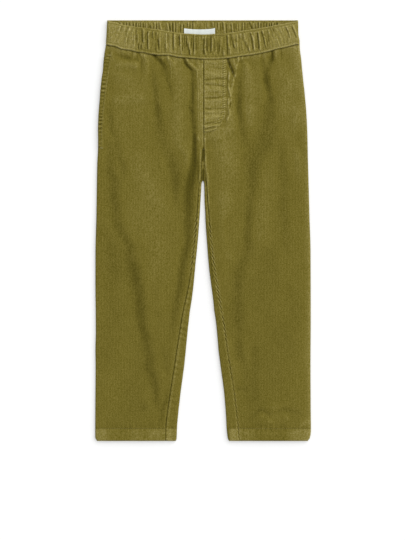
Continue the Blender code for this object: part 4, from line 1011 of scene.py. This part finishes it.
def band_row(down):
    """One row round the casing: its outer and its inner face."""
    shown, roll = casing_profile(down)
    join = (CENTRE_BACK_TOP - band_x(0, 0)) / (band_x(1, 0) - band_x(0, 0))
    fine = np.linspace(0, 1, BAND_COLUMNS)
    angles = np.radians(np.linspace(-90, 90, END_POINTS))[1:-1]
    stretches = []

    def back(u):
        level = down * SEAM_AT_BACK - stands_up(down) + 0 * u
        x = band_x(u, level)
        wave = gather_wave(u + 0.003, down, 0.5, count=50) * shown
        outer = np.column_stack((x, level, 0.45 * (1.2 - wave) * shown - 0.5 * roll))
        clear_of_label = np.clip((np.abs(x - LABEL_MIDDLE) - LABEL_ROOM) / 4, 0, 1)
        shown_gathers = gathered(BACK_GATHERS, x, level) * np.maximum(clear_of_label, level < 10)
        wave = 0.25 * wave + shown_gathers + seam_dip(x - band_x(join, level), 0.9, 0.8)
        inner = np.column_stack((x, level, CASING - 0.2 + 0.8 * np.clip(wave, -1.3, 1.3) + 0.4 * roll))
        stretches.append((outer, inner, pile(x), wave))

    def end(sign, turns):
        top = np.clip(np.sin(turns), 0, 1) * smooth(BAND_TOP, sign * 143.0)
        level = top + down * (SEAM_AT_BACK - top) - stands_up(down)
        reach = BAND_STACK / 2
        middle = band_edge(sign, level) - sign * reach
        size = reach + END_ROLL * roll
        outer = np.column_stack((middle + sign * size * np.cos(turns), level, reach + size * np.sin(turns)))
        size = reach - CASING
        inner = np.column_stack((middle + sign * size * np.cos(turns), level, reach + size * np.sin(turns)))
        wave = gathered(FRONT_GATHERS, outer[:, 0], level) * np.clip(np.sin(turns), 0, 1)
        stretches.append((outer, inner, pile(turns * reach), wave))

    def front(u):
        calm = np.clip(np.minimum(u, 1 - u) * 18, 0, 1)
        middle = band_x(u, SEAM_AT_BACK / 2)
        lean = (smooth(BAND_SEAM, middle + 4) - smooth(BAND_SEAM, middle - 4)) / 8
        shift = -lean * calm * (down - 0.5) * 20
        top, seam = smooth(BAND_TOP, middle + shift), smooth(BAND_SEAM, middle + shift)
        x = band_x(u, top + down * (seam - top)) + shift
        top, seam = smooth(BAND_TOP, x), smooth(BAND_SEAM, x)
        level = top + down * (seam - top) - 0.5 * stands_up(down)
        wave = 0.35 * gather_wave(u, down, 0.9) * shown * calm + gathered(FRONT_GATHERS, x, level)
        outer = np.column_stack((x, level, BAND_STACK + np.clip(1.1 * wave, -1.2, 1.4) + roll))
        inner = np.column_stack((x, level, BAND_STACK - CASING + 0 * u))
        stretches.append((outer, inner, pile(x), wave))

    back(np.concatenate(([join - JOIN_GAP, join - 0.0004], fine[fine < join - 0.001][::-1])))
    end(-1, angles)
    front(fine)
    end(1, angles[::-1])
    back(np.concatenate((fine[fine > join + 0.001][::-1], [join + 0.0004, join + JOIN_GAP])))
    return [np.concatenate(part) for part in zip(*stretches)]


cloth = Cloth()
outer_rows, inner_rows = [], []
for down in BAND_DOWN:
    outer, inner, ribs, wave = band_row(down)
    # Painted highlights on the rolled top edge, just below its stitch line and on the lower piping; painted
    # shade in the stitch line's dip and the dip above the piping.
    edge_wear_and_shading = (0.85 * np.exp(-((0.962 - down) / 0.024) ** 2) - 0.1 * np.exp(-((down - 0.9) / 0.02) ** 2)
                 + 0.7 * np.exp(-((down - 0.006) / 0.022) ** 2) - 0.3 * np.exp(-((down - 0.07) / 0.022) ** 2)
                 + 0.25 * np.exp(-((down - 0.13) / 0.025) ** 2))
    mottled = (1 + 0.25 * np.sin(outer[:, 0] / 1.9) * np.sin(outer[:, 0] / 5.3 + 1.0)
               - 0.35 * np.exp(-((outer[:, 0] + 95) / 32) ** 2))
    rubbed_and_shaded = GATHER_SHADING * np.where(wave > 0, wave, wave / 2)
    wear_and_shading = smooth(WAIST_WEAR_AND_LIGHT, outer[:, 0]) + edge_wear_and_shading * mottled + rubbed_and_shaded
    hem_line = 0.35 * np.exp(-((down - 0.094) / 0.012) ** 2) - 0.2 * np.exp(-((down - 0.055) / 0.025) ** 2)
    # Inside the back: the top rim painted paler as lit, a pale and a dark line near the top, and paler
    # towards the wearer's right.
    inside_wear_and_shading = 0.1 + 0.35 * np.exp(-(down / 0.02) ** 2) + hem_line + rubbed_and_shaded
    inside_wear_and_shading += 0.15 * np.clip((-50 - inner[:, 0]) / 20, 0, 1)
    wear_and_shading, inside_wear_and_shading = (part * np.where(part > 0, BAND_PALE, 1) for part in (wear_and_shading, inside_wear_and_shading))
    outer_rows.append(cloth.add_row(outer, 0.35 + 0.65 * ribs, wear_and_shading, False))
    inner_rows.append(cloth.add_row(inner, 0.35 + 0.65 * ribs, inside_wear_and_shading, False))
along = np.arange(len(outer_rows[0]), dtype=float)
for rows in (outer_rows, inner_rows):
    cloth.add_face(rows, [along] * len(rows))
for k in (0, -1):
    cloth.join(outer_rows[k], inner_rows[k])
    cloth.join(np.array([row[k] for row in outer_rows]), np.array([row[k] for row in inner_rows]))
waistband = cloth.finish("cloth_waistband", [band_corduroy])
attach(waistband, "root")
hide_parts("waistband")

# ---------------------------------------------------------------------------------------
# Mock fly. A J-shaped shield of corduroy beside the centre-front seam, held by twin rows
# of stitches and never opened. It puckers in short level wrinkles between its seams.

FLY_WIDTH = 34.3
FLY_BEND = 128.0          # level where its edge starts to curve
FLY_END = 168.0
FLY_ROUND = 2.2
FLY_LIFT = 0.9
STITCH_PITCH = 3.3
FLY_ROWS = ((2.1, 163.0), (6.2, 156.0))    # twin stitching: in from the edge, level of its end
FLY_WRINKLES = (          # level at the seam and at the edge, half-width, height at the seam and at the edge
    (62, 62, 2.4, 0.3, 0.5), (66.5, 66, 1.2, -0.6, 0.2), (72, 71.2, 1.2, -0.1, -0.9),
    (79.5, 82, 2.8, 0.6, 0.6), (89.2, 87.6, 1.1, -1.5, -1.2), (92, 93, 1.8, 0.6, 0.5),
    (95, 100.4, 1.1, -0.9, -0.9), (103, 104.5, 3, 0.6, 0.6), (110, 106.5, 1.1, -0.1, -0.6),
    (117.8, 113.8, 1.1, -1.6, -1.4), (122, 118, 2, 0.7, 0.5), (132.2, 133.4, 1.1, -1, -0.8),
    (137, 137.5, 1.8, 0.8, 0.3), (140.5, 141, 1.4, -0.6, 0), (147, 143, 2.6, 1.2, 0.5),
    (155.6, 150.6, 1.1, -1.3, -0.6), (160, 156, 1.5, 1.6, 0.6), (163.4, 157.5, 1, -1.1, -0.5),
    (165.6, 162, 1, 1.9, 0.5),
)


def fly_edge(level, inset=0.0):
    """How far the fly's edge, or a line inside it, lies from its seam."""
    run = np.clip((level - FLY_BEND) / (FLY_END - inset - FLY_BEND), 0, 0.995)
    return (FLY_WIDTH - inset) * (1 - run ** FLY_ROUND) ** (1 / FLY_ROUND)


def row_size(across, level, inset, end):
    """1 along a line of stitches round the fly, less than 1 inside it."""
    down = np.clip((level - FLY_BEND) / (end - FLY_BEND), 0, None)
    return ((across / (FLY_WIDTH - inset)) ** FLY_ROUND + down ** FLY_ROUND) ** (1 / FLY_ROUND)


def fly_relief(across, level):
    """Wrinkles of the fly. They lie straight between its seam and its edge."""
    part = across / FLY_WIDTH
    rise = np.zeros(np.shape(across))
    for at_seam, at_edge, half_width, by_seam, by_edge in FLY_WRINKLES:
        middle = at_seam + (at_edge - at_seam) * part + 0.7 * np.sin(part * 6 + at_seam)
        height = (by_seam + (by_edge - by_seam) * part) * (0.85 + 0.3 * np.sin(9 * part + at_seam))
        rise += height * np.exp(-((level - middle) / (1.2 * half_width)) ** 2)
    rise *= np.clip(part / 0.06, 0.2, 1)
    for inset, end in FLY_ROWS:
        from_row = (1 - row_size(across, level, inset, end)) * (FLY_WIDTH - inset)
        rise -= 0.5 * np.exp(-(from_row / 0.8) ** 2)
    return rise


def fly_beads(across, level):
    """The cloth between the twin rows stands up in a bead at each stitch."""
    between = (1 - row_size(across, level, 3.9, 159.5)) * (FLY_WIDTH - 3.9)
    wave = np.cos(2 * np.pi * (level + 0.3 * across) / STITCH_PITCH)
    return np.where(wave > 0, wave, 0.5 * wave) * np.exp(-(between / 2.4) ** 4)


def fly_row(level):
    start = CENTRE_SEAM + SEAM / 2
    place = wale_places(start, start + fly_edge(level))
    across = place - start
    x = place
    true_level = level + sinking(x, level)
    edge_roll = -0.8 * np.exp(-((start + fly_edge(level) - place) / 0.8) ** 2)
    end_roll = -0.8 * np.exp(-((FLY_END - level) / 0.8) ** 2)
    relief = fly_relief(across, true_level) + np.minimum(edge_roll, end_roll) + seam_dip(across, 0.8, 0.5)
    beads = fly_beads(across, true_level)
    z = left_leg.top(x, true_level) + FLY_LIFT + relief + 0.3 * beads
    band_shadow = np.exp(-((true_level - smooth(BAND_SEAM, x) - 0.3) / 1.1) ** 2)
    # The fly paler overall and beside its seam, with painted light on wrinkle ridges and beads and painted
    # shade in their furrows, a painted shadow under the waistband and painted shade in the centre seam.
    wear_and_shading = 0.42 + 0.25 * np.exp(-((across - 2.0) / 1.5) ** 2) + SMALL_SHADE * relief + 1.1 * beads
    wear_and_shading += 0.12 * np.sin(across * 1.7 + 0.8 * np.sin(true_level / 6)) - 0.55 * band_shadow
    wear_and_shading -= (0.6 * seam_shade(true_level) + 0.2) * np.exp(-(across / 0.7) ** 2)
    return Row(place, x, true_level, z, 0.0, 1.0, wear_and_shading)


fly_levels = np.arange(SEAM_AT_BACK + 0.3, FLY_END, 0.55)
mock_fly = cloth_piece("cloth_mock_fly", [fly_row(level) for level in fly_levels], [leg_corduroy],
                       thickness=0.75)
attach(mock_fly, "root")
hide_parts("mock_fly")

# ---------------------------------------------------------------------------------------
# Pocket edges. The mouth of each side pocket is the turned edge of the front, stitched
# down 9 mm in at its top and 5 mm at its foot. The stitching pulls it into a ladder of
# small ripples. The left one is on the edge that is rolled under.

POCKET_TOP = 53.5
POCKET_END = 191.0
POCKET_DEPTH = (          # level, how far in from the side the turned edge ends
    (50, 10.8), (66, 10.2), (93, 9.5), (108, 9), (130, 8.2), (153, 7.5), (173, 6.7), (195, 6.2),
)
ROW_INSET = 1.7           # from the turned edge to its stitches
LADDER = 0.38             # height of the ripples
LADDER_PITCH = 5.5
LADDER_REACH = 3.5
LADDER_MIDDLE = 4.0       # in from the side edge
EDGE_LIFT = 1.1           # the turned edge lies this high on the front
pocket_levels = np.arange(POCKET_TOP, POCKET_END, 1.1)


def pocket_row(leg, level):
    fold_at = leg.side_out(level) - EDGE
    if leg.sign < 0:
        place = wale_places(fold_at + EDGE - smooth(POCKET_DEPTH, level), fold_at + EDGE * 0.75)
    else:
        place = wale_places(fold_at + EDGE * (np.pi - 0.7), fold_at + EDGE * (np.pi - 1) + LEFT_ROLL)
    turn = np.clip((place - fold_at) / EDGE, 0, np.pi)
    past = np.clip(place - fold_at - np.pi * EDGE, 0, None)
    out = np.minimum(place, fold_at) + EDGE * np.sin(turn) - past
    bottom = 0.0 if leg.sign < 0 else roll_lift(level)
    from_ladder = out - leg.side_out(level) + LADDER_MIDDLE
    ladder = pucker(level, from_ladder, LADDER_PITCH, LADDER_REACH, LADDER if leg.sign < 0 else 0.0)
    inner_roll = -0.6 * np.exp(-((place - place[0]) / 0.5) ** 2)
    in_row = np.exp(-((place - place[0] - ROW_INSET) / 0.7) ** 2)
    lift = EDGE_LIFT + (ladder + inner_roll - 0.6 * in_row if leg.sign < 0 else 0.0)
    around = bottom + (STACK - bottom) * (1 + np.cos(turn)) / 2
    level_here = level + sinking(leg.sign * out, level)
    z = np.where(turn > 0, around, leg.top(out, level_here))
    facing_x, facing_z = leg.sign * np.sin(turn), np.cos(turn)
    x = leg.sign * out + lift * facing_x
    mouth_end_shadow = np.exp(-((level - POCKET_TOP) / 2.0) ** 2) + np.exp(-((POCKET_END - level) / 2.0) ** 2)
    # Painted light and shade on the ripples, a pale turned edge, painted shade in the stitch row and a
    # painted shadow at both ends of the mouth.
    wear_and_shading = (1.5 * ladder - 0.04 + 0.45 * np.exp(-((place - place[0] - 0.5) / 0.7) ** 2) - 0.3 * in_row
            - 0.5 * mouth_end_shadow * (out > leg.side_out(level) - 4))
    return Row(place, x, level_here, z + lift * facing_z, facing_x, facing_z, wear_and_shading)


for leg, name in ((right_leg, "right"), (left_leg, "left")):
    pocket_rows = [pocket_row(leg, level) for level in pocket_levels]
    pocket_edge = cloth_piece("cloth_pocket_edge_" + name, pocket_rows, [leg_corduroy], thickness=0.75,
                              column_step=3)
    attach(pocket_edge, "root")
    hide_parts("pocket_edge_" + name)

# ---------------------------------------------------------------------------------------
# Label. A blank white satin tape, folded at its ends and sewn inside the centre back of
# the waistband.

LABEL_WIDTH = 46.4
LABEL_DEPTH = 22.0
LABEL_TOP = 11.0
LABEL_COLUMNS, LABEL_ROWS = 140, 16


def satin(name):
    material, tree, surface = shader(name, 0.5)
    where = tree.nodes.new("ShaderNodeTexCoord").outputs["Object"]
    threads = node(tree, "ShaderNodeTexWave", Scale=900.0, Distortion=0.4)
    threads.bands_direction = "Y"
    tree.links.new(where, threads.inputs["Vector"])
    colour = mix_colour(tree, "MIX", threads.outputs["Fac"], (0.56, 0.60, 0.57, 1), (0.64, 0.68, 0.65, 1))
    tree.links.new(colour, surface.inputs["Base Color"])
    bump = node(tree, "ShaderNodeBump", Strength=0.2, Distance=0.0001)
    tree.links.new(threads.outputs["Fac"], bump.inputs["Height"])
    tree.links.new(bump.outputs["Normal"], surface.inputs["Normal"])
    return material


def label_row(down):
    across = np.linspace(-0.5, 0.5, LABEL_COLUMNS)
    sag = (2.2 * (1 - (2 * across) ** 2) ** 0.7 + 0.6 * np.clip((-0.44 - across) / 0.06, 0, 1)) * (1 - down)
    level = LABEL_TOP + sag + LABEL_DEPTH * down
    wave = 0.12 * np.sin(across * 17) + 0.08 * np.sin(across * 31 + 2 * down)
    ends = 0.18 * np.exp(-((0.5 - np.abs(across)) / 0.03) ** 2)
    x = LABEL_MIDDLE + across * LABEL_WIDTH
    over_join = 0.3 * np.exp(-((x - CENTRE_BACK_TOP) / 0.5) ** 2)
    z = CASING + 0.9 + wave + ends - over_join
    return Row(across * LABEL_WIDTH, x, level, z, 0.0, 1.0, 0.0, ribs=False)


label = cloth_piece("tape_label", [label_row(down) for down in np.linspace(0, 1, LABEL_ROWS)],
                    [satin("label_satin")], thickness=0.5)
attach(label, "root")
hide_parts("label")

# ---------------------------------------------------------------------------------------
# Stitching. Olive spun thread, a shade paler than the cloth: twin rows round the fly, one
# along the pocket's edge, one near the top of the waistband, and one round each hem.

THREAD = 0.5              # thickness
STITCH = 2.5              # length of one stitch that shows
STITCH_SHAPE = ((-0.5, 0.35), (-0.36, 0.85), (0.0, 1.0), (0.36, 0.85), (0.5, 0.35))   # along, width
STITCH_SIDES = 6


def thread_material():
    material, tree, surface = shader("olive_thread", 0.8)
    where = tree.nodes.new("ShaderNodeTexCoord").outputs["Object"]
    ply = node(tree, "ShaderNodeTexWave", Scale=1400.0, Distortion=2.0)
    tree.links.new(where, ply.inputs["Vector"])
    colour = mix_colour(tree, "MIX", ply.outputs["Fac"], (0.17, 0.142, 0.027, 1), (0.26, 0.22, 0.06, 1))
    tree.links.new(colour, surface.inputs["Base Color"])
    return material


olive_thread = thread_material()


def stitched(name, line, pitch=STITCH_PITCH, length=STITCH, width=THREAD):
    """A row of stitches along a line of points: each is a short bead that dips at its ends."""
    line = np.asarray(line, dtype=float)
    steps = np.linalg.norm(np.diff(line, axis=0), axis=1)
    run = np.concatenate(([0], np.cumsum(steps)))
    middles = np.arange(pitch / 2, run[-1], pitch)
    points, triangles = [], []
    rings = len(STITCH_SHAPE)
    turns = np.arange(STITCH_SIDES) * 2 * np.pi / STITCH_SIDES
    for middle in middles:
        first = len(points)
        ahead = np.array([np.interp(middle + 0.5, run, line[:, k]) - np.interp(middle - 0.5, run, line[:, k])
                          for k in range(3)])
        ahead /= np.linalg.norm(ahead)
        beside = np.cross((0.0, 0.0, 1.0), ahead)
        beside /= np.linalg.norm(beside)
        above = np.cross(ahead, beside)
        for part, size in STITCH_SHAPE:
            centre = np.array([np.interp(middle + part * length, run, line[:, k]) for k in range(3)])
            centre = centre - above * 0.5 * width * (2 * part) ** 4
            for turn in turns:
                points.append(centre + size * width / 2 * (np.cos(turn) * beside + np.sin(turn) * above))
        for ring in range(rings - 1):
            for k in range(STITCH_SIDES):
                a = first + ring * STITCH_SIDES + k
                b = first + ring * STITCH_SIDES + (k + 1) % STITCH_SIDES
                triangles += [(a, b, a + STITCH_SIDES), (b, b + STITCH_SIDES, a + STITCH_SIDES)]
        for end in (first, first + (rings - 1) * STITCH_SIDES):
            triangles += [(end, end + k, end + k + 1) for k in range(1, STITCH_SIDES - 1)]
    thread = Cloth()
    thread.add_row(np.array(points), np.zeros(len(points)), np.zeros(len(points)), False)
    thread.triangles.append(np.array(triangles))
    piece = thread.finish(name, [olive_thread])
    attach(piece, "root")
    return piece


def on_fly(across, level):
    x = CENTRE_SEAM + SEAM / 2 + across
    return x, level, left_leg.top(x, level) + FLY_LIFT + fly_relief(across, level) + 0.1


fly_turn = np.linspace(0, np.pi / 2, 40)
for (inset, end), name in zip(FLY_ROWS, ("outer", "inner")):
    straight = [(FLY_WIDTH - inset, level) for level in np.arange(58.0, FLY_BEND, 1.0)]
    curved = [((FLY_WIDTH - inset) * np.cos(t) ** (2 / FLY_ROUND),
               FLY_BEND + (end - FLY_BEND) * np.sin(t) ** (2 / FLY_ROUND)) for t in fly_turn]
    stitched("stitches_fly_" + name, [on_fly(across, level) for across, level in straight + curved[:-1]])

pocket_line = []
for level in np.arange(POCKET_TOP + 2, POCKET_END - 2, 1.0):
    out = right_leg.side_out(level) - smooth(POCKET_DEPTH, level) + ROW_INSET
    level_here = level + sinking(-out, level)
    from_ladder = out - right_leg.side_out(level) + LADDER_MIDDLE
    ladder = pucker(level, from_ladder, LADDER_PITCH, LADDER_REACH, LADDER)
    height = right_leg.top(np.array(out), level_here) + EDGE_LIFT + ladder - 0.6 + 0.12
    pocket_line.append((-out, level_here, height))
stitched("stitches_pocket_right", pocket_line)

BAND_STITCH_DOWN = 0.07
outer, _, _, _ = band_row(BAND_STITCH_DOWN)
on_front = outer[:, 2] > BAND_STACK / 2 + 2.5
stitched("stitches_waistband_front", outer[on_front] + (0, 0, 0.08))

for leg, name in ((right_leg, "right"), (left_leg, "left")):
    level = HEM + 0.4
    outs = np.arange(leg.inner_out(level) + EDGE, leg.side_out(level) - EDGE, 1.5)
    heights = leg.top(outs, level) + hem_rise(leg.sign * outs, level) + 0.1
    stitched("stitches_hem_" + name, np.column_stack((leg.sign * outs, level + 0 * outs, heights)))

# ---------------------------------------------------------------------------------------
# Bar tacks. Short dense zigzags of the same thread at both ends of the pocket's mouth. They
# are sewn through the turned edge and the front.

TACK_POINTS = 34
TACK_SWAY = 1.1           # half the width of the bar

def bar_tack(name, x, level, length, slant):
    """A zigzag that crosses a bar from side to side as it runs down it."""
    run = np.linspace(-0.5, 0.5, TACK_POINTS)
    sway = np.where(np.arange(TACK_POINTS) % 2, -TACK_SWAY, TACK_SWAY)
    xs = x + run * length * np.sin(slant) + sway * np.cos(slant)
    levels = level + run * length * np.cos(slant) - sway * np.sin(slant)
    heights = right_leg.top(-xs, levels) + 0.25
    stitched(name, np.column_stack((xs, levels, heights)), pitch=0.9, length=1.0, width=0.45)


bar_tack("bartack_pocket_top", -140.6, 52.0, 5.6, np.radians(86))
bar_tack("bartack_pocket_end", -152.4, 191.0, 4.6, np.radians(80))

# ---------------------------------------------------------------------------------------
# Floor, light and camera. A plain white table lit from below as well, a large soft light
# from the upper right, and the camera straight above.

FLOOR_REACH = 2.0         # metres from its middle to each edge
floor_mesh = bpy.data.meshes.new("floor")
corners = [(across * FLOOR_REACH, along * FLOOR_REACH, 0)
           for across, along in ((-1, -1), (1, -1), (1, 1), (-1, 1))]
floor_mesh.from_pydata(corners, [], [(0, 1, 2, 3)])
floor = bpy.data.objects.new("floor", floor_mesh)
bpy.context.scene.collection.objects.link(floor)
floor.location.z = -0.0002
paper, _, paper_surface = shader("white_paper", 0.9)
paper_surface.inputs["Base Color"].default_value = (0.55, 0.552, 0.55, 1)
paper_surface.inputs["Emission Color"].default_value = (1, 1, 1, 1)
paper_surface.inputs["Emission Strength"].default_value = 0.37
floor_mesh.materials.append(paper)

world = bpy.data.worlds.new("soft_sky")
world.use_nodes = True
world.node_tree.nodes["Background"].inputs["Color"].default_value = (1.0, 1.0, 1.0, 1)
world.node_tree.nodes["Background"].inputs["Strength"].default_value = 0.66
bpy.context.scene.world = world

window = bpy.data.lights.new("window", "SUN")
window.angle = np.radians(75)
window.energy = 2.8
window_lamp = bpy.data.objects.new("window", window)
window_lamp.rotation_euler = (np.radians(-30), np.radians(44), 0)
bpy.context.scene.collection.objects.link(window_lamp)

PIXEL = 1.5               # real size of one pixel of the photo, mm
PHOTO_WIDTH, PHOTO_HEIGHT = 405, 540
MIDDLE_COLUMN = 203.0     # pixel column of the photo where X is 0
WAIST_ROW = 20.5          # pixel row of the waist's top edge
SENSOR = 36
CAMERA_HEIGHT = 3.0       # metres above the cloth that faces it
CLOTH_HEIGHT = 0.006
camera_data = bpy.data.cameras.new("camera")
camera_data.sensor_width = SENSOR
camera_data.lens = SENSOR * CAMERA_HEIGHT / (PHOTO_HEIGHT * PIXEL * MM)
camera = bpy.data.objects.new("camera", camera_data)
camera.location = ((PHOTO_WIDTH / 2 - MIDDLE_COLUMN) * PIXEL * MM,
                   (WAIST_Y - (PHOTO_HEIGHT / 2 - WAIST_ROW) * PIXEL) * MM, CAMERA_HEIGHT + CLOTH_HEIGHT)
bpy.context.scene.collection.objects.link(camera)
bpy.context.scene.camera = camera
bpy.context.scene.view_settings.view_transform = "Standard"
